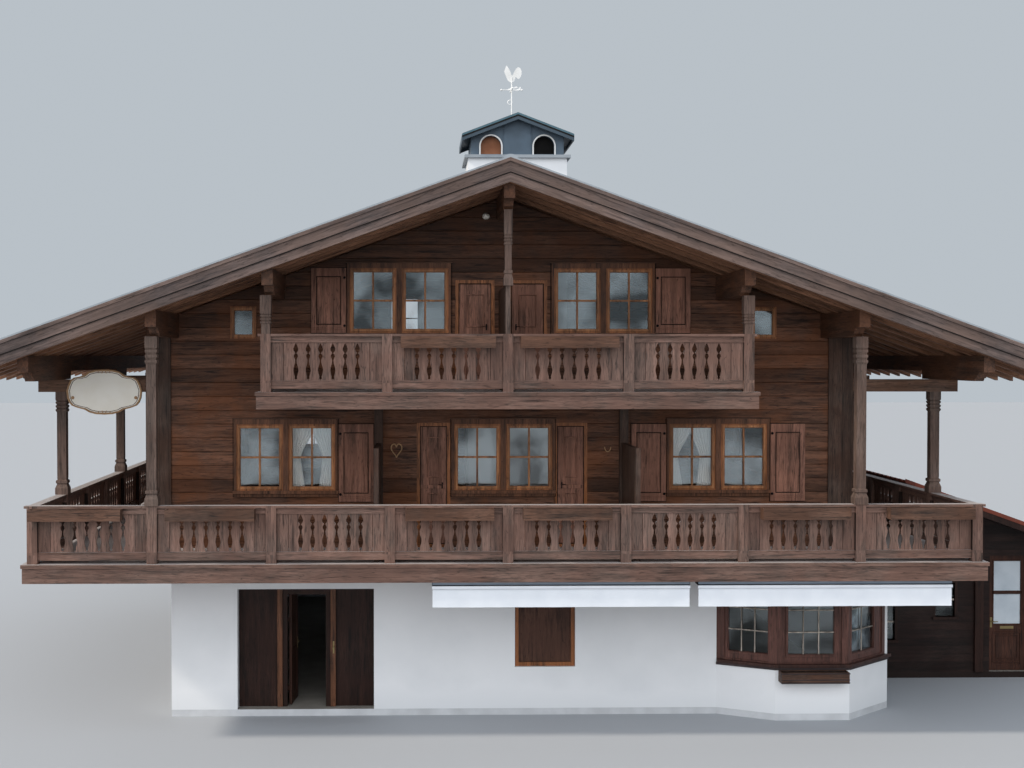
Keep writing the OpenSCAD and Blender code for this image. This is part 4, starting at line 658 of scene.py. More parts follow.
class Pane:
    """A glass pane: its lower left outer corner seen from outside, directions and sizes."""

    def __init__(self, points):
        flat = points[:, :2]
        middle = flat.mean(axis=0)
        _, _, axes = np.linalg.svd(flat - middle)
        right = axes[0]
        out = np.array([right[1], -right[0]])
        if out @ (middle - HOUSE_MIDDLE) < 0:
            out = -out
        right = np.array([-out[1], out[0]])
        along, across = (flat - middle) @ right, (flat - middle) @ out
        self.z0, self.z1 = points[:, 2].min(), points[:, 2].max()
        self.width, self.height = np.ptp(along), self.z1 - self.z0
        corner = middle + right * along.min() + out * across.max()
        self.origin = (corner[0], corner[1], self.z0)
        self.right, self.out = (right[0], right[1], 0), (out[0], out[1], 0)
        self.middle = (middle[0], middle[1], (self.z0 + self.z1) / 2)


HOUSE_MIDDLE = np.array([0.5, 0.0])
SASH_OUT = 0.044
SASH_W = 0.042
BAR_W = 0.034
BAR_T = 0.016


def glaze(bars, sashes, pane, columns, rows, bar=BAR_W, sash=True):
    """Bars across a pane, and a moulded sash round it, on the outer side."""
    o, r, d = pane.origin, pane.right, pane.out
    w, h = pane.width, pane.height
    for i in range(1, columns):
        middle = w * i / columns
        bars.block(o, r, d, middle - bar / 2, middle + bar / 2, -0.002, BAR_T, 0, h)
    for i in range(1, rows):
        middle = h * i / rows
        bars.block(o, r, d, 0, w, -0.002, BAR_T + 0.002, middle - bar / 2, middle + bar / 2)
    if not sash:
        return
    lap = 0.004
    for depth, inner, outer in ((0.024, lap, lap - 0.014), (SASH_OUT, -0.006, -SASH_W)):
        low, high = inner, outer
        sashes.block(o, r, d, high, low, -0.002, depth, high, h - high)
        sashes.block(o, r, d, w - low, w - high, -0.002, depth, high, h - high)
        sashes.block(o, r, d, low, w - low, -0.002, depth, high, low)
        sashes.block(o, r, d, low, w - low, -0.002, depth, h - low, h - high)


panes = [Pane(points) for points in islands("glass_panes")]
front_panes = [p for p in panes if p.out[1] < -0.99 and p.middle[2] > FIRST_Z]
pair_panes = [p for p in front_panes if p.width > 0.5]
small_panes = [p for p in front_panes if p.width <= 0.5]
bay_panes = [p for p in panes if p.middle[2] < FIRST_Z and p.middle[1] < FRONT_Y + 0.6 and p.middle[0] > 3]
wing_panes = [p for p in panes if p.middle[0] > 7.2 and p.middle[1] > -4]
other_panes = [p for p in panes if p not in front_panes + bay_panes + wing_panes]

bars, sashes = Builder(), Builder()
for p in pair_panes + other_panes:
    glaze(bars, sashes, p, 2, 2)
for p in small_panes:
    glaze(bars, sashes, p, 1, 1)
bars.made("window_glazing_bars", larch_light, slot="stained_larch", bevel=0.003)
sashes.made("window_sashes", larch_light, slot="stained_larch", bevel=0.003)
bars, sashes = Builder(), Builder()
for p in bay_panes:
    glaze(bars, sashes, p, 2 if p.out[0] > 0.5 else 3, 3, bar=0.022)
for p in wing_panes:
    glaze(bars, sashes, p, 1, 2, sash=False)
bars.made("bay_glazing_bars", bay_bar_wood, slot="stained_larch", bevel=0.003)
sashes.made("bay_sashes", bay_wood, slot="stained_larch", bevel=0.003)


# Curtains behind two of the first floor's windows: gathered cloth on a rod, drawn to the side

CURTAIN_BACK = 0.17
FOLDS, FOLD_DEPTH = 7, 0.022
# Share of the height, from the rod, at which the tie-back holds the cloth, and how far it widens below
TIE, WIDEN = 0.55, 0.35


def cloth_map(made, u, v, width, height):
    """UV map of a sheet in metres of flat cloth, from its two parameters; v runs downwards."""
    flat = np.stack([u * width, (1 - v) * height], axis=2).reshape(-1, 2)
    loops = np.empty(len(made.data.loops), int)
    made.data.loops.foreach_get("vertex_index", loops)
    made.data.uv_layers.new(name="cloth").data.foreach_set("uv", flat[loops].ravel())


def curtain(name, x0, x1, y, z0, z1, pull):
    """Folded cloth: y is a sine across it, and its free edge is drawn aside by a cosine of the height."""
    u, v = np.meshgrid(np.linspace(0, 1, FOLDS * 10), np.linspace(0, 1, 24))
    draw = pull * (1 - np.cos(math.pi * np.minimum(v / TIE, 1))) / 2
    draw = draw * (1 - WIDEN * np.maximum(v - TIE, 0) / (1 - TIE))
    fold = FOLD_DEPTH * (1 + 0.6 * draw) * np.sin(2 * math.pi * FOLDS * u + 0.6 * v)
    surface = np.stack([x0 + (x1 - x0) * u * (1 - draw), y + fold, z1 - (z1 - z0) * v], axis=2)
    builder = Builder()
    builder.grid(surface)
    made = builder.made(name, curtain_cloth, smooth=True)
    width = float(np.linalg.norm(np.diff(surface, axis=1), axis=2).sum(axis=1).mean())
    cloth_map(made, u, v, width, z1 - z0)


rods = Builder()
curtained = [p for p in pair_panes if p.middle[2] < UPPER_Z and abs(abs(p.middle[0]) - 3.4) < 0.15]
for number, p in enumerate(sorted(curtained, key=lambda q: q.middle[0])):
    y = p.middle[1] + CURTAIN_BACK
    left, right = p.middle[0] - p.width / 2 - 0.06, p.middle[0] + p.width / 2 + 0.06
    top = p.z1 + 0.04
    rods.tube((left - 0.04, y, top), (right + 0.04, y, top), 0.011)
    for x in (left - 0.02, right + 0.02):
        rods.box((x - 0.008, y - 0.16, top - 0.012), (x + 0.008, y, top + 0.012))
    curtain(f"curtain_{number}_left", left, p.middle[0] + 0.02, y, p.z0 - 0.05, top, 0.55)
    curtain(f"curtain_{number}_right", right, p.middle[0] - 0.02, y, p.z0 - 0.05, top, 0.45)
rods.made("curtain_rods", brass)


# Roof tiles

def tile_slope(name, material, x0, z0, x1, y0, y1, fall, row, column, thick, node, slot):
    """Rows of rolled tiles from the high edge x0 down to x1, as one closed skin.

    Across the slope the height is roll * max(0, sin)^0.7, and each row rises to its free end by step.
    """
    roll, step = 0.026, 0.022
    rows = max(int(round(abs(x1 - x0) / row)), 1)
    columns = max(int(round((y1 - y0) / column)), 1)
    across = np.linspace(y0, y1, columns * 8 + 1)
    turn = (across - y0) / column * 2 * math.pi
    bumps = roll * np.maximum(np.sin(turn), 0) ** 0.7
    bumps[0] = bumps[-1] = 0
    x = np.repeat(np.linspace(x0, x1, rows + 1), 2)[1:-1]
    z = z0 - fall * np.abs(x - x0) - roll - step + np.tile((0.0, step), rows)
    surface = np.stack(np.broadcast_arrays(x[:, None], across[None, :], z[:, None] + bumps[None, :]), axis=2)
    number = np.arange(surface.size // 3).reshape(surface.shape[:2])
    base = [(x, y, z0 - fall * abs(x - x0) - thick) for x, y in ((x0, y0), (x0, y1), (x1, y0), (x1, y1))]
    points = np.vstack([surface.reshape(-1, 3), base]).tolist()
    under = number.size
    faces = quads(number).tolist()
    faces += [[under, *number[0].tolist(), under + 1], [under + 3, *number[-1, ::-1].tolist(), under + 2],
              [under + 2, *number[::-1, 0].tolist(), under], [under + 1, *number[:, -1].tolist(), under + 3],
              [under, under + 1, under + 3, under + 2]]
    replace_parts(piece(name, points, faces, material, slot=slot), node)


def box_of(node):
    """Lowest and highest corner of a CAD node."""
    lo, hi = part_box(node)
    return np.array(lo), np.array(hi)


roof_lo, roof_hi = box_of("covering_left")
COVER_T = 0.09
VERGE_T, VERGE_H = 0.012, 0.026
stack_lo, stack_hi = box_of("chimney_stack")
for name in ("covering_left", "covering_right"):
    lo, hi = box_of(name)
    far = lo[0] if name == "covering_left" else hi[0]
    tile_slope(name.replace("covering", "tiles"), grey_tile, 0.0, RIDGE_Z, far, lo[1] + VERGE_T,
               hi[1] - VERGE_T, ROOF_FALL, TILE_ROW, GREY_TILE_W, COVER_T, name, "roof_tile")


def slope_slab(builder, x0, x1, y0, y1, z0, upper, lower, fall=ROOF_FALL):
    """A slab along a slope that starts at x0, z0 and falls to x1, between two depths under it."""
    drop = fall * abs(x1 - x0)
    corners = [(x0, z0 - upper), (x1, z0 - drop - upper), (x1, z0 - drop - lower), (x0, z0 - lower)]
    builder.add([(x, y, z) for y in (y0, y1) for x, z in corners], CUBE)


def both_slopes(builder, y0, y1, upper, lower):
    """Two slabs from the ridge down both slopes, between two depths under the roof's surface."""
    for side in (-1, 1):
        slope_slab(builder, 0.0, side * abs(roof_lo[0]), y0, y1, RIDGE_Z, upper, lower)


verge, verge_boards = Builder(), Builder()
for y0, y1 in ((roof_lo[1], roof_lo[1] + VERGE_T), (roof_hi[1] - VERGE_T, roof_hi[1])):
    both_slopes(verge, y0, y1, 0.0, VERGE_H)
    both_slopes(verge_boards, y0, y1, VERGE_H, COVER_T)
verge.made("verge_flashing", zinc, slot="sheet_metal")
verge_boards.made("verge_boards", barge_wood, slot="balcony_timber", bevel=0.004)

barge_lo, barge_hi = box_of("bargeboards")
BARGE_BOARD_H = 0.168
COVER_LINE = 0.010
# A dark strip of painted shadow where the upper bargeboard steps over the lower one
lines = Builder()
joint = RIDGE_Z - barge_hi[2] + BARGE_BOARD_H
both_slopes(lines, barge_lo[1] - 0.001, barge_lo[1] + 0.02, joint - COVER_LINE / 2, joint + COVER_LINE)
both_slopes(lines, barge_hi[1] - 0.02, barge_hi[1] + 0.001, joint - COVER_LINE / 2, joint + COVER_LINE)
lines.made("bargeboard_painted_shadow", shadow_gap, slot="dark_timber")


def ridge_tile(builder, y0, y1, radius, height, base):
    """Half-round cap from y0 to y1: an arch of the radius that widens by a tenth towards y0."""
    turns = np.linspace(0.0, math.pi, 11)[:, None]
    y = np.array([y0, y0 + 0.04, y0 + 0.045, y1, y1, y0])[None, :]
    grow = np.array([1.1, 1.1, 1.0, 0.96, 0.86, 0.96])[None, :]
    surface = [radius * grow * np.cos(turns), y + 0 * turns, base + height * grow * np.sin(turns)]
    builder.grid(np.stack(surface, axis=2), close=True, caps=True)


caps = Builder()
cap_len = 0.40
runs = ((roof_lo[1], stack_lo[1]), (stack_hi[1], roof_hi[1]))
for run0, run1 in runs:
    count = int(round((run1 - run0) / cap_len))
    size = (run1 - run0) / count
    for k in range(count):
        start = run0 + k * size + (0.03 if k == 0 else 0.0)
        ridge_tile(caps, start, run0 + (k + 1) * size, 0.105, 0.064, RIDGE_Z - 0.05)
caps.made("ridge_tiles", grey_tile, slot="roof_tile")
plugs = Builder()
turns = np.linspace(0.0, math.pi, 15)
for y0, y1 in ((roof_lo[1] + 0.018, roof_lo[1] + 0.031), (roof_hi[1] - 0.013, roof_hi[1])):
    arch = np.stack([0.118 * np.cos(turns), 0 * turns, RIDGE_Z - 0.05 + 0.074 * np.sin(turns)], axis=1)
    plugs.grid([arch + (0, y0, 0), arch + (0, y1, 0)], close=True, caps=True)
plugs.made("ridge_end_plugs", zinc, slot="sheet_metal")


def trim_boxes(node, low=-1e9, high=1e9):
    """Lowest and highest corners of the separate solids of a node between two heights."""
    found = []
    for points in islands(node):
        lo, hi = points.min(axis=0), points.max(axis=0)
        if low < (lo[2] + hi[2]) / 2 < high:
            found.append((lo, hi))
    return sorted(found, key=lambda box: tuple(box[0]))


# Head boards over the front windows, with a small drip edge

heads = Builder()
for lo, hi in trim_boxes("window_trim", FIRST_Z):
    if hi[1] - lo[1] > 0.5 or lo[1] > FRONT_Y or hi[0] - lo[0] < 0.7:
        continue
    y = FRONT_Y - 0.020
    heads.box((lo[0] + 0.01, y - 0.014, hi[2] - 0.045), (hi[0] - 0.01, FRONT_Y - 0.001, hi[2] + 0.004))
    heads.box((lo[0] - 0.015, y - 0.030, hi[2] + 0.004), (hi[0] + 0.015, FRONT_Y - 0.001, hi[2] + 0.020))
heads.made("window_head_boards", box_wood, slot="stained_larch", bevel=0.003)


# Iron on the shutters, doors and leaves

irons = Builder()


def knob(x, y, z, radius=0.017, out=0.022):
    """Domed knob towards the front: a quarter circle turned round its axis."""
    t = np.linspace(0, math.pi / 2, 5)
    irons.turned((x, y, z), np.stack([out * np.sin(t), radius * np.cos(t)], axis=1))


shutter_boxes = trim_boxes("shutters", FIRST_Z)
leaf_boxes = [(lo, hi) for lo, hi in trim_boxes("balcony_doors", FIRST_Z) if hi[2] - lo[2] > 1.0]
for lo, hi in shutter_boxes:
    beside = [p.middle[0] for p in pair_panes if abs(p.middle[2] - hi[2]) < 2]
    window = min(beside, key=lambda x: abs(x - lo[0]))
    near_side, inward = (hi[0], -1) if window > lo[0] else (lo[0], 1)
    for z in (lo[2] + 0.13, hi[2] - 0.17):
        knob(near_side + inward * 0.03, lo[1] - 0.001, z, 0.024, 0.028)
HANDLE_IN, HANDLE_UP = 0.075, 1.05
for lo, hi in leaf_boxes:
    way = -1 if lo[0] < 0 else 1
    x = hi[0] - HANDLE_IN if way < 0 else lo[0] + HANDLE_IN
    z = lo[2] + HANDLE_UP
    irons.box((x - 0.011, lo[1] - 0.003, z - 0.07), (x + 0.011, lo[1] + 0.001, z + 0.04))
    irons.tube((x, lo[1] - 0.002, z), (x, lo[1] - 0.035, z), 0.006)
    irons.tube((x - 0.006 * way, lo[1] - 0.032, z), (x + HANDLE_IN * way, lo[1] - 0.032, z), 0.005)
irons.made("shutter_and_door_irons", black_iron, slot="forged_iron")


def frame_strip(builder, x0, x1, z0, z1, y, width, out):
    """A rectangular moulding of four strips on a face looking to the front."""
    builder.box((x0, y - out, z0), (x1, y + 0.001, z0 + width))
    builder.box((x0, y - out, z1 - width), (x1, y + 0.001, z1))
    builder.box((x0, y - out, z0 + width), (x0 + width, y + 0.001, z1 - width))
    builder.box((x1 - width, y - out, z0 + width), (x1, y + 0.001, z1 - width))


# Planted mouldings on the shutters and balcony doors, round their sunk panels, and dark strips of painted
# shadow in their grooves and round the trims, shutters and leaves

mouldings, shade_strips = Builder(), Builder()
STILE, RAIL, GROOVE = 0.088, 0.145, 0.016
# How far the dark strips of painted shadow lie proud of the wall
SHADE_STRIP_OUT = 0.0015
for lo, hi in shutter_boxes:
    frame_strip(shade_strips, lo[0] + STILE, hi[0] - STILE, lo[2] + RAIL, hi[2] - RAIL, lo[1] + 0.008, GROOVE, 0.002)
    frame_strip(mouldings, lo[0] + STILE + GROOVE, hi[0] - STILE - GROOVE, lo[2] + RAIL + GROOVE,
                hi[2] - RAIL - GROOVE, lo[1], 0.014, 0.009)
    for z in (lo[2] + 0.055, lo[2] + 0.085):
        mouldings.box((lo[0] + 0.02, lo[1] - 0.007, z), (hi[0] - 0.02, lo[1] + 0.001, z + 0.012))
LEAF_STILE, LEAF_RAIL, LEAF_MIDDLE = 0.12, 0.18, 0.14
for lo, hi in leaf_boxes:
    middle = (lo[2] + hi[2]) / 2
    for z0, z1 in ((lo[2] + LEAF_RAIL, middle - LEAF_MIDDLE), (middle + LEAF_MIDDLE, hi[2] - LEAF_RAIL)):
        frame_strip(mouldings, lo[0] + LEAF_STILE, hi[0] - LEAF_STILE, z0, z1, lo[1], 0.016, 0.010)
for lo, hi in trim_boxes("window_trim", FIRST_Z):
    if hi[0] - lo[0] > 0.5 and hi[2] - lo[2] > 0.5 and lo[1] < FRONT_Y:
        frame_strip(shade_strips, lo[0] - 0.010, hi[0] + 0.010, lo[2] - 0.010, hi[2] + 0.010, FRONT_Y, 0.012,
                    SHADE_STRIP_OUT)
for lo, hi in shutter_boxes + leaf_boxes:
    frame_strip(shade_strips, lo[0] - 0.012, hi[0] + 0.012, lo[2] - 0.012, hi[2] + 0.012, FRONT_Y, 0.014, SHADE_STRIP_OUT)
mouldings.made("shutter_mouldings", shutter_wood, slot="stained_larch", bevel=0.003)
shade_strips.made("painted_shadow_strips", shadow_gap, slot="dark_timber")


# Lamp, heart and hook on the log walls

WALL_LAMP = (-0.275, 8.90)
lamp = Builder()
x, z = WALL_LAMP
lamp.turned((x, FRONT_Y, z), ((0.0, 0.062), (0.03, 0.066), (0.055, 0.064), (0.075, 0.058), (0.09, 0.048),
                              (0.10, 0.038), (0.108, 0.022), (0.112, 0.0)), sides=20, flatten=0.85)
lamp.made("wall_lamp", cream_paint, slot="white_enamel", smooth=True)


def wire(builder, path, radius, sides=8):
    """A bent wire: circles of the radius round each point of the path, square to it."""
    path = np.array(path, float)
    ahead = np.gradient(path, axis=0)
    ahead /= np.linalg.norm(ahead, axis=1)[:, None]
    side = np.cross(ahead, (0, 1, 0))
    side /= np.linalg.norm(side, axis=1)[:, None]
    other = np.cross(ahead, side)
    turns = np.linspace(0, 2 * math.pi, sides, endpoint=False)
    ring = path[:, None] + radius * (np.cos(turns)[None, :, None] * side[:, None]
                                     + np.sin(turns)[None, :, None] * other[:, None])
    builder.grid(ring, close=True, caps=True)


# Middles and sizes of the heart and of the ellipse whose lower half is the hook, and how far both stand
# off the wall. The heart is the curve x = sin cubed, z = 13 cos - 5 cos 2 - 2 cos 3 - cos 4
HEART, HEART_SIZE = (-1.865, 4.755), (0.19, 0.27)
HOOK, HOOK_SIZE = (1.905, 4.80), (0.11, 0.17)
ORNAMENT_OUT = 0.014
ornaments = Builder()
t = np.linspace(0.02, 2 * math.pi - 0.02, 48)
off_wall = np.full(len(t), FRONT_Y - ORNAMENT_OUT)
heart_x = HEART[0] + HEART_SIZE[0] * np.sin(t) ** 3 / 2
heart_z = 13 * np.cos(t) - 5 * np.cos(2 * t) - 2 * np.cos(3 * t) - np.cos(4 * t)
heart_z = HEART[1] + HEART_SIZE[1] * heart_z / 32
wire(ornaments, np.stack([heart_x, off_wall, heart_z], axis=1), 0.011)
t = np.linspace(math.pi, 2 * math.pi, 20)
off_wall = np.full(len(t), FRONT_Y - ORNAMENT_OUT)
wire(ornaments, np.stack([HOOK[0] + HOOK_SIZE[0] / 2 * np.cos(t), off_wall,
                          HOOK[1] + HOOK_SIZE[1] / 2 * np.sin(t)], axis=1), 0.009)
ornaments.made("wall_ornaments", gilt_paint, slot="forged_iron", smooth=True)


# Earth in the flower boxes: small waves and crumbs between the box walls

earth_fill = Builder()
BOX_WALL = 0.022
for lo, hi in trim_boxes("flower_boxes"):
    x = np.linspace(lo[0] + BOX_WALL, hi[0] - BOX_WALL, 60)
    y = np.linspace(lo[1] + BOX_WALL, hi[1] - BOX_WALL, 10)
    grid_x, grid_y = np.meshgrid(x, np.append(y, (y[-1], y[0])), indexing="ij")
    lift = 0.004 * np.sin(grid_x * 37 + grid_y * 21) + 0.003 * np.sin(grid_x * 83 - grid_y * 64)
    lift[:, -2:] = -0.03
    earth_fill.grid(np.stack([grid_x, grid_y, hi[2] - 0.016 + lift], axis=2), close=True, caps=True)
earth_fill.made("box_earth", soil, slot="balcony_timber", smooth=True)


# Awnings: rounded case, front bar, folded arms and a hanging valance

def extruded(builder, x0, x1, profile):
    """A profile of (y, z) points carried along X and closed at both ends."""
    builder.grid([[(x, y, z) for y, z in profile] for x in (x0, x1)], close=True, caps=True)


def rounded(y0, y1, z0, z1, radius, steps=4):
    """A rectangle in Y and Z whose corners are quarter circles."""
    profile = []
    for (cy, cz), start in (((y1 - radius, z1 - radius), 0), ((y0 + radius, z1 - radius), 90),
                            ((y0 + radius, z0 + radius), 180), ((y1 - radius, z0 + radius), 270)):
        for step in range(steps + 1):
            turn = math.radians(start + 90 * step / steps)
            profile.append((cy + radius * math.cos(turn), cz + radius * math.sin(turn)))
    return profile


CASE_H, CASE_D, BAR_H, VALANCE_H = 0.095, 0.26, 0.055, 0.36
# Depth of the deck's boards and joists, and the gap between them and the case
DECK_T, CASE_GAP = 0.24, 0.04
# Places of an arm's two ends: distance from the case's end, and behind its front
ARM_ENDS = ((0.25, 0.10), (1.85, 0.11))
# The deck's joists stand at the newels of the lower railing
JOISTS = LOWER_BAY * np.arange(-3, 5)
case_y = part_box("awnings")[0].y + 0.025
case_top = FIRST_Z - DECK_T - CASE_GAP
case_foot = case_top - CASE_H
spans = [(lo[0], hi[0]) for lo, hi in trim_boxes("awnings")]
case, bar, arms, end_caps_and_shade_strip = Builder(), Builder(), Builder(), Builder()
for number, (x0, x1) in enumerate(spans):
    bar_z = case_foot - BAR_H
    extruded(case, x0, x1, rounded(case_y, case_y + CASE_D, case_foot, case_top, 0.03))
    extruded(bar, x0, x1, rounded(case_y - 0.025, case_y + 0.04, bar_z, case_foot - 0.004, 0.012))
    # A black strip between the case and the front bar: a seal, drawn black as painted shade of the gap
    end_caps_and_shade_strip.box((x0 + 0.004, case_y - 0.012, case_foot - 0.012), (x1 - 0.004, case_y + 0.03, case_foot + 0.006))
    cap = rounded(case_y - 0.003, case_y + CASE_D + 0.003, case_foot - 0.004, case_top + 0.003, 0.03)
    for x, side in ((x0, 1), (x1, -1)):
        extruded(end_caps_and_shade_strip, *sorted((x, x + side * 0.006)), cap)
        ends = [(x + side * along, case_y + back) for along, back in ARM_ENDS]
        for end in ends:
            arms.tube((*end, case_foot + 0.01), (*end, case_foot - 0.036), 0.022)
        arms.tube((*ends[0], case_foot - 0.018), (*ends[1], case_foot - 0.018), 0.015)
    for x in JOISTS:
        if x0 + 0.1 < x < x1 - 0.1:
            arms.box((x - 0.035, case_y + 0.085, case_top - 0.01),
                     (x + 0.035, case_y + 0.175, FIRST_Z - DECK_T - 0.001))
    u, v = np.meshgrid(np.linspace(0, 1, 161), np.linspace(0, 1, 10))
    swing = (0.004 * np.sin(u * 23) + 0.003 * np.sin(u * 61 + 1.0)) * v
    width, height = x1 - x0 - 0.02, VALANCE_H - BAR_H + 0.012
    builder = Builder()
    surface = [x0 + 0.01 + width * u, case_y + 0.004 + swing, bar_z + 0.012 - height * v]
    builder.grid(np.stack(surface, axis=2))
    made = builder.made(f"awning_valance_{number}", awning_cloth, slot="awning_white", smooth=True)
    cloth_map(made, u, v, width, height)
case = case.made("awning_cases", grey_coat, slot="white_enamel")
bar.made("awning_front_bars", white_coat, slot="white_enamel")
arms.made("awning_arms", white_coat, slot="white_enamel")
end_caps_and_shade_strip.made("awning_caps_and_painted_shade_strip", black_iron, slot="forged_iron")
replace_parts(case, "awnings")


# Sign: a moulded rim along the board's outline, on a bare face

def outline_of(node, y):
    """The outer loop of a flat node at its front face, in order."""
    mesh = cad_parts[node].data
    points = np.array([v.co for v in mesh.vertices])
    front = np.unique(np.round(points[np.abs(points[:, 1] - y) < 1e-4][:, [0, 2]], 4), axis=0)
    middle = (front.min(axis=0) + front.max(axis=0)) / 2
    order = np.argsort(np.arctan2(front[:, 1] - middle[1], front[:, 0] - middle[0]))
    return front[order], middle


sign_lo = box_of("sign_board")[0]
outline, middle = outline_of("sign_board", sign_lo[1])
rim = Builder()
line = Builder()


def sign_band(builder, profile):
    """A closed moulding along the outline: (distance inside the edge, height above the face) points."""
    away = outline - middle
    shrink, out = np.array([*profile, profile[0]]).T[:, :, None]
    ring = middle + away * (1 - shrink[:, :, None] / np.linalg.norm(away, axis=1)[None, :, None])
    face = sign_lo[1] - out - 0.0005
    builder.grid(np.stack([ring[:, :, 0], face + 0 * ring[:, :, 0], ring[:, :, 1]], axis=2), close=True)


sign_band(rim, ((0.0, 0.0), (0.0, 0.010), (0.010, 0.016), (0.022, 0.014), (0.030, 0.006), (0.034, 0.0)))
sign_band(line, ((0.048, 0.0), (0.050, 0.006), (0.058, 0.006), (0.060, 0.0)))
sign_band(line, ((-0.0005, -0.03), (-0.0005, 0.004), (0.003, 0.011)))
# Scrolls at the top and foot: spirals of this radius whose middles are this far from the board's middle
SCROLL_R, SCROLL_X, SCROLL_Z = 0.055, 0.05, 0.345
# Rosettes at both ends, below the middle
ROSETTE_X, ROSETTE_DOWN = 0.555, 0.10
t = np.linspace(0.0, 4.2, 26)
reach = SCROLL_R * (1 - t / 5.2)
on_face = np.full(len(t), sign_lo[1] - 0.008)
for flip in (-1, 1):
    scroll_z = middle[1] + flip * SCROLL_Z + flip * reach * np.sin(t)
    for s in (-1, 1):
        scroll_x = middle[0] + s * (SCROLL_X + reach * np.cos(t))
        wire(rim, np.stack([scroll_x, on_face, scroll_z], axis=1), 0.007)
for s in (-1, 1):
    rim.turned((middle[0] + s * ROSETTE_X, sign_lo[1], middle[1] - ROSETTE_DOWN),
               ((0.0, 0.030), (0.008, 0.027), (0.011, 0.012), (0.012, 0.0)))
rim.made("sign_rim", gilt_paint, slot="sign_paint", smooth=True)
line.made("sign_lines", sign_line, slot="sign_paint", smooth=True)


# Chimney: white rims round the arches, a clay flue in the left arch and a black box of painted shade in the
# right, seams on the sheet roof

lantern_lo, lantern_hi = box_of("chimney_lantern")
slab_top = box_of("chimney_slab")[1][2]
ARCH_R, ARCH_FOOT, ARCH_SILL, RIM_W = 0.205, 0.16, 0.02, 0.028
chimney_mid = (lantern_lo + lantern_hi) / 2
# Distance of an arch's middle from the chimney's, as a share of the shaft's width
ARCH_SHARE = 0.269
rims = Builder()
for y, out in ((lantern_lo[1], -0.006), (lantern_hi[1], 0.006)):
    for s in (-1, 1):
        turn = np.linspace(0, math.pi, 25)
        along, up = np.cos([0, *turn, math.pi])[:, None], np.array([0, *np.sin(turn), 0])[:, None]
        foot = np.array([slab_top, *[slab_top + ARCH_SILL + ARCH_FOOT] * len(turn), slab_top])[:, None]
        reach = np.array([ARCH_R, ARCH_R, ARCH_R + RIM_W, ARCH_R + RIM_W])[None, :]
        face = y + np.array([0, out, out, 0])[None, :]
        cx = chimney_mid[0] + s * ARCH_SHARE * (stack_hi[0] - stack_lo[0])
        surface = np.stack([cx + reach * along, face + 0 * along, foot + reach * up], axis=2)
        rims.grid(surface, close=True, caps=True)
rims.made("lantern_arch_rims", white_paint, slot="slate_cladding")
# The right arch is filled with a black box: painted shade for the dark inside
flue, void = Builder(), Builder()
FLUE_HALF_D, FLUE_H = 0.52, 0.44
FLUE_IN, FLUE_OUT = 0.24, 0.80
for builder, left, right in ((flue, -FLUE_OUT, -FLUE_IN), (void, FLUE_IN, FLUE_OUT)):
    builder.box((chimney_mid[0] + left, chimney_mid[1] - FLUE_HALF_D, slab_top),
                (chimney_mid[0] + right, chimney_mid[1] + FLUE_HALF_D, slab_top + FLUE_H))
flue.made("clay_flue", flue_clay, slot="lime_plaster")
void.made("painted_shade_in_right_arch", black_shade, slot="slate_cladding")

# Standing seams at the edges of the middle cladding panel
folds = Builder()
FOLD_X, FOLD_W, FOLD_H, FOLD_IN, FOLD_OUT = 0.272, 0.012, 0.62, 0.014, 0.006
for y0, y1 in ((lantern_lo[1] - FOLD_OUT, lantern_lo[1] + FOLD_IN),
               (lantern_hi[1] - FOLD_IN, lantern_hi[1] + FOLD_OUT)):
    for s in (-1, 1):
        x = chimney_mid[0] + s * FOLD_X
        folds.box((x - FOLD_W / 2, y0, slab_top), (x + FOLD_W / 2, y1, slab_top + FOLD_H))
folds.made("lantern_folds", slate_blue, slot="slate_cladding", bevel=0.003)
cap_lo, cap_hi = box_of("chimney_roof")
CAP_FALL = 0.38
SEAM_HALF = 0.008


def cap_slabs(builder, y0, y1, reach, upper, lower):
    """Two slabs from the chimney roof's ridge down its slopes, between two depths under its surface."""
    for side in (-1, 1):
        slope_slab(builder, chimney_mid[0], chimney_mid[0] + side * reach, y0, y1, cap_hi[2], upper, lower,
                   CAP_FALL)


cap_reach = cap_hi[0] - chimney_mid[0]
seams = Builder()
for y in np.linspace(cap_lo[1] + 0.03, cap_hi[1] - 0.03, 5):
    cap_slabs(seams, y - SEAM_HALF, y + SEAM_HALF, cap_reach - 0.015, -0.012, 0.008)
seams.made("chimney_roof_seams", green_sheet, slot="sheet_metal")
# Folded edge of the chimney roof, and a black strip of painted shadow under it
cap_edge, cap_shadow = Builder(), Builder()
for y in (cap_lo[1] - 0.004, cap_hi[1] - 0.006):
    cap_slabs(cap_edge, y, y + 0.010, cap_reach, -0.003, 0.033)
    cap_slabs(cap_shadow, y + 0.001, y + 0.009, cap_reach, 0.033, 0.067)
cap_edge.made("chimney_roof_edge", teal_sheet, slot="sheet_metal")
cap_shadow.made("chimney_roof_painted_shadow", black_shade, slot="sheet_metal")


# Wing: tiled roof on dark boards, casings round the small windows, door mouldings and irons

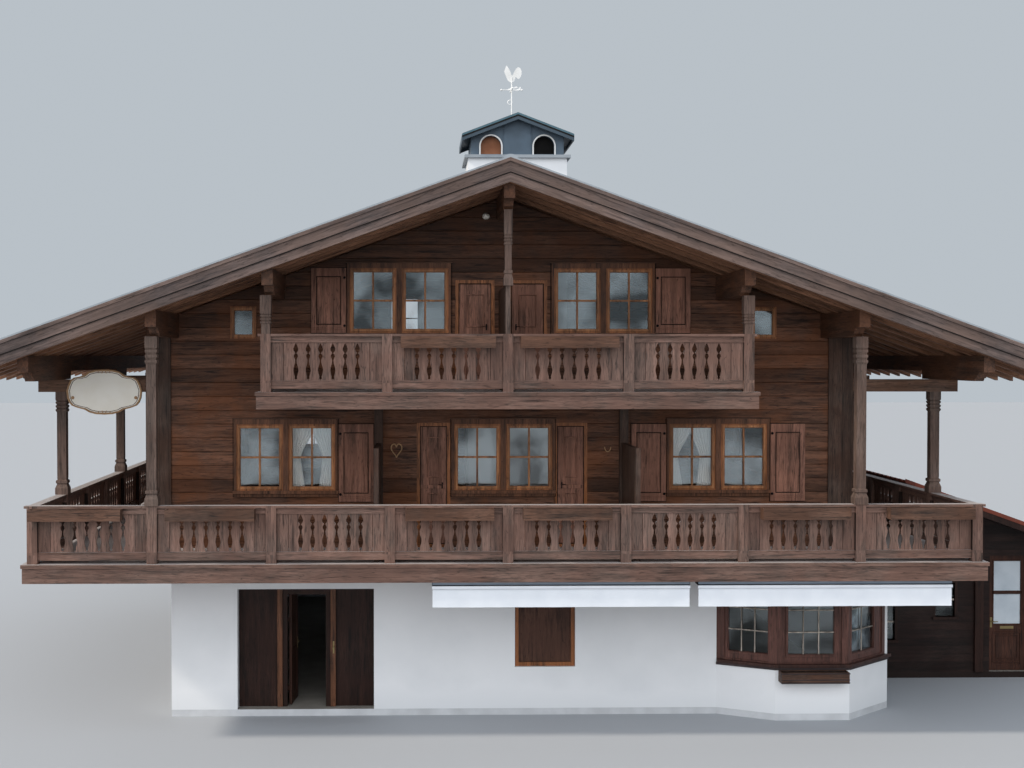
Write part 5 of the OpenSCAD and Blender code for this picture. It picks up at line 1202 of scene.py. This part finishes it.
wing_lo, wing_hi = box_of("wing_roof")
WING_T, WING_TILE_T, WING_EDGE = 0.20, 0.08, 0.012
tile_slope("wing_roof_tiles", red_tile, wing_lo[0], wing_hi[2], wing_hi[0], wing_lo[1] + WING_EDGE,
           wing_hi[1] - WING_EDGE, ROOF_FALL, TILE_ROW, RED_TILE_W, WING_TILE_T, "wing_roof", "clay_tile")
boards, edge = Builder(), Builder()
slope_slab(boards, wing_lo[0], wing_hi[0] - 0.02, wing_lo[1] + 0.02, wing_hi[1] - 0.02, wing_hi[2],
           WING_TILE_T, WING_T)
for y0, y1 in ((wing_lo[1] + 0.005, wing_lo[1] + 0.020), (wing_hi[1] - 0.020, wing_hi[1] - 0.005)):
    slope_slab(boards, wing_lo[0], wing_hi[0], y0, y1, wing_hi[2], WING_TILE_T, WING_T)
for y0, y1 in ((wing_lo[1], wing_lo[1] + WING_EDGE), (wing_hi[1] - WING_EDGE, wing_hi[1])):
    slope_slab(edge, wing_lo[0], wing_hi[0], y0, y1, wing_hi[2], 0.0, WING_TILE_T - 0.005)
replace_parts(boards.made("wing_roof_boards", dark_board, slot="dark_timber", bevel=0.004), "wing_roof")
edge.made("wing_verge_tiles", red_tile, slot="clay_tile")

wing_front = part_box("wing_walls")[0].y
SLAB_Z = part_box("ground_slab")[1].z
# Width and depth of a casing, how much the sill under it is longer and deeper
CASING, SILL_LONGER, SILL_DEEPER = 0.055, 0.02, 0.03
# Left and right side of the post beside the door, its top, and how far it stands out
POST_X, POST_Z, POST_OUT = (9.61, 9.78), 3.2, 0.06
casings = Builder()
for p in wing_panes:
    o, r, d = p.origin, p.right, p.out
    w, h = p.width, p.height
    casings.block(o, r, d, -CASING, 0.0, 0.0, CASING, -CASING, h + CASING)
    casings.block(o, r, d, w, w + CASING, 0.0, CASING, -CASING, h + CASING)
    casings.block(o, r, d, 0.0, w, 0.0, CASING, h, h + CASING)
    casings.block(o, r, d, -CASING - SILL_LONGER, w + CASING + SILL_LONGER, 0.0, CASING + SILL_DEEPER,
                  -CASING, 0.0)
casings.box((POST_X[0], wing_front - POST_OUT, SLAB_Z), (POST_X[1], wing_front + 0.001, POST_Z))
casings.made("wing_window_casings", dark_board, slot="stained_larch", bevel=0.004)

door_lo = box_of("wing_door")[0]
panes_lo, panes_hi = box_of("wing_door_panes")
face = door_lo[1]
mould = Builder()
# Mouldings round the glass, round the panel below and inside it: how far they lie outside the glass at
# the sides, their foot and head, their width and how far they stand out
for side, z0, z1, width, out in ((0.025, panes_lo[2] - 0.025, panes_hi[2] + 0.025, 0.028, 0.012),
                                 (0.02, door_lo[2] + 0.16, panes_lo[2] - 0.16, 0.022, 0.010),
                                 (-0.05, door_lo[2] + 0.23, panes_lo[2] - 0.23, 0.012, 0.006)):
    frame_strip(mould, panes_lo[0] - side, panes_hi[0] + side, z0, z1, face, width, out)
pane_z = (panes_lo[2] + panes_hi[2]) / 2
mould.box((panes_lo[0] - 0.02, face - 0.012, pane_z - 0.034),
          (panes_hi[0] + 0.02, face + 0.001, pane_z + 0.034))
mould.made("wing_door_mouldings", wing_door_wood, body="wing_leaf", slot="dark_timber", bevel=0.003)
fittings = Builder()
x, z = door_lo[0] + 0.065, door_lo[2] + 0.98
fittings.box((x - 0.02, face - 0.006, z - 0.12), (x + 0.02, face + 0.001, z + 0.08))
fittings.tube((x, face - 0.003, z), (x, face - 0.05, z), 0.009)
fittings.tube((x - 0.01, face - 0.046, z), (x + 0.12, face - 0.046, z), 0.009)
# Brass plate under the glass
x, PLATE_HALF_W = (panes_lo[0] + panes_hi[0]) / 2, 0.135
fittings.box((x - PLATE_HALF_W, face - 0.005, panes_lo[2] - 0.10),
             (x + PLATE_HALF_W, face + 0.001, panes_lo[2] - 0.045))
fittings.made("wing_door_fittings", brass, body="wing_leaf", slot="forged_iron")


# Entrance: fittings on the leaf, which stands open, and raised posts beside the doorway

# Middle and clear width of the doorway, and the hinge axis's place behind the front
ENTRY_X, DOORWAY_W, HINGE_Y = -3.485, 0.69, -5.69
LEAF_OPEN = math.radians(85)
LEAF_GAP, LEAF_T = 0.008, 0.045
LEAF_AXIS = (ENTRY_X - DOORWAY_W / 2 + LEAF_GAP / 2, HINGE_Y, 0)
LEAF_RIGHT = (math.cos(LEAF_OPEN), math.sin(LEAF_OPEN), 0)
LEAF_OUT = (math.sin(LEAF_OPEN), -math.cos(LEAF_OPEN), 0)
LEAF_BACK, LEAF_FACE, SPINDLE, SPINDLE_Z = 0.02, 0.02 + LEAF_T, 0.61, 1.17


def leaf_point(u, d, z):
    """A point of the open leaf: u from its hinge axis, d towards its outer side."""
    axis, right, out = np.array([LEAF_AXIS, LEAF_RIGHT, LEAF_OUT])
    return tuple(axis + right * u + out * d + np.array((0, 0, z)))


leaf_irons = Builder()
for d0, d1, lever in ((LEAF_FACE - 0.001, LEAF_FACE + 0.006, LEAF_FACE + 0.040),
                      (LEAF_BACK - 0.006, LEAF_BACK + 0.001, LEAF_BACK - 0.040)):
    leaf_irons.block(LEAF_AXIS, LEAF_RIGHT, LEAF_OUT, SPINDLE - 0.02, SPINDLE + 0.02, d0, d1,
                     SPINDLE_Z - 0.13, SPINDLE_Z + 0.07)
    leaf_irons.tube(leaf_point(SPINDLE + 0.01, lever, SPINDLE_Z),
                    leaf_point(SPINDLE - 0.12, lever, SPINDLE_Z), 0.009)
leaf_irons.made("entrance_leaf_fittings", brass, body="entrance_leaf", slot="forged_iron")
posts = Builder()
entry_lo, entry_hi = box_of("entrance_front")
# Inner and outer side of a post from the doorway's middle, and how far it stands out
JAMB_IN, JAMB_EDGE, JAMB_OUT = 0.43, 0.525, 0.03
for s in (-1, 1):
    x = sorted((ENTRY_X + s * JAMB_IN, ENTRY_X + s * JAMB_EDGE))
    posts.box((x[0], entry_lo[1] - JAMB_OUT, SLAB_Z), (x[1], entry_lo[1] + 0.001, entry_hi[2]))
posts.made("entrance_posts", casing_wood, slot="dark_timber", bevel=0.005)
# Plate and knob on the right post: sides, foot and head of the plate, and the knob's place
PLATE_X, PLATE_Z, KNOB = (-3.012, -2.985), (1.08, 1.30), (-2.998, 1.18)
strike = Builder()
strike.box((PLATE_X[0], entry_lo[1] - 0.034, PLATE_Z[0]), (PLATE_X[1], entry_lo[1] - 0.029, PLATE_Z[1]))
strike.tube((KNOB[0], entry_lo[1] - 0.03, KNOB[1]), (KNOB[0], entry_lo[1] - 0.07, KNOB[1]), 0.02)
strike.made("entrance_post_fittings", brass, slot="forged_iron")


# Bay: a second, thicker step under the sill, and mouldings on the planter

def band(builder, path, out, z0, z1):
    """A board along a path of (x, y) points, its outer edge offset by out with mitred corners."""
    path = np.array(path, float)
    steps = np.diff(path, axis=0)
    normals = np.stack([steps[:, 1], -steps[:, 0]], axis=1) / np.linalg.norm(steps, axis=1)[:, None]
    first, second = np.vstack([normals[:1], normals]), np.vstack([normals, normals[-1:]])
    mitre = (first + second) / (1 + (first * second).sum(axis=1))[:, None]
    section = [np.column_stack([line, np.full(len(path), z)])
               for line, z in ((path, z0), (path + mitre * out, z0), (path + mitre * out, z1), (path, z1))]
    builder.grid(np.stack(section, axis=1), close=True, caps=True)


# Corners of the bay's outer face, from the left
BAY_PATH = ((3.87, -6.0), (4.80, -6.5), (6.12, -6.5), (7.08, -5.63))
SILL_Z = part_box("bay_parapet")[1].z
step = Builder()
band(step, BAY_PATH, 0.030, SILL_Z - 0.045, SILL_Z + 0.001)
for lo, hi in trim_boxes("flower_boxes", high=2.0):
    for z, out in ((hi[2] - 0.030, 0.010), (lo[2] + 0.055, 0.006), (lo[2] + 0.005, 0.008)):
        step.box((lo[0] - out, lo[1] - out, z), (hi[0] + out, lo[1] + 0.001, z + 0.022))
step.made("bay_sill_step", sill_wood, slot="dark_timber", bevel=0.004)


# Stage: a plain pale floor and backdrop, soft sky light and one low sun

def seen_rays(tree):
    """1 where the camera, a mirror or glass looks, and 0 for the light that the surface gives off."""
    rays = add(tree, "ShaderNodeLightPath").outputs
    seen = calc(tree, "MAXIMUM", rays["Is Camera Ray"], rays["Is Glossy Ray"])
    return calc(tree, "MAXIMUM", seen, rays["Is Transmission Ray"])


def stage():
    """Camera from the photograph, plain floor, world light and sun."""
    scene = bpy.context.scene
    scene.view_settings.view_transform = "Standard"
    scene.render.resolution_x = 1024
    scene.render.resolution_y = 768
    data = bpy.data.cameras.new("camera")
    camera = bpy.data.objects.new("camera", data)
    scene.collection.objects.link(camera)
    camera.location = CAMERA_PLACE
    camera.rotation_euler = [math.radians(v) for v in CAMERA_TURN]
    data.lens = CAMERA_LENS
    data.shift_x = CAMERA_SHIFT_X
    scene.camera = camera

    world = bpy.data.worlds.new("sky")
    scene.world = world
    world.use_nodes = True
    tree = world.node_tree
    tree.links.new(mix(tree, seen_rays(tree), "#d3dce6", "#d6dfe7"), tree.nodes["Background"].inputs["Color"])
    tree.nodes["Background"].inputs["Strength"].default_value = 0.72

    for name, energy, spread, turn, colour in (("key_sun", 2.3, 5, (50, 0, -78), (1.0, 0.9, 0.78)),
                                               ("front_fill", 2.0, 80, (60, 0, -14), (0.98, 0.98, 1.0))):
        light = bpy.data.lights.new(name, "SUN")
        light.color = colour
        light.energy = energy
        light.angle = math.radians(spread)
        lamp = bpy.data.objects.new(name, light)
        lamp.rotation_euler = [math.radians(v) for v in turn]
        lamp.visible_glossy = spread < 20
        scene.collection.objects.link(lamp)

    mesh = bpy.data.meshes.new("floor")
    mesh.from_pydata([(-120, -120, 0), (120, -120, 0), (120, 160, 0), (-120, 160, 0)], [], [(0, 1, 2, 3)])
    floor = bpy.data.objects.new("floor", mesh)
    scene.collection.objects.link(floor)
    material, tree, shader = new_material("plain floor", 0.9)
    tree.links.new(mix(tree, seen_rays(tree), "#97989a", "#abafb4"), shader.inputs["Base Color"])
    mesh.materials.append(material)


stage()
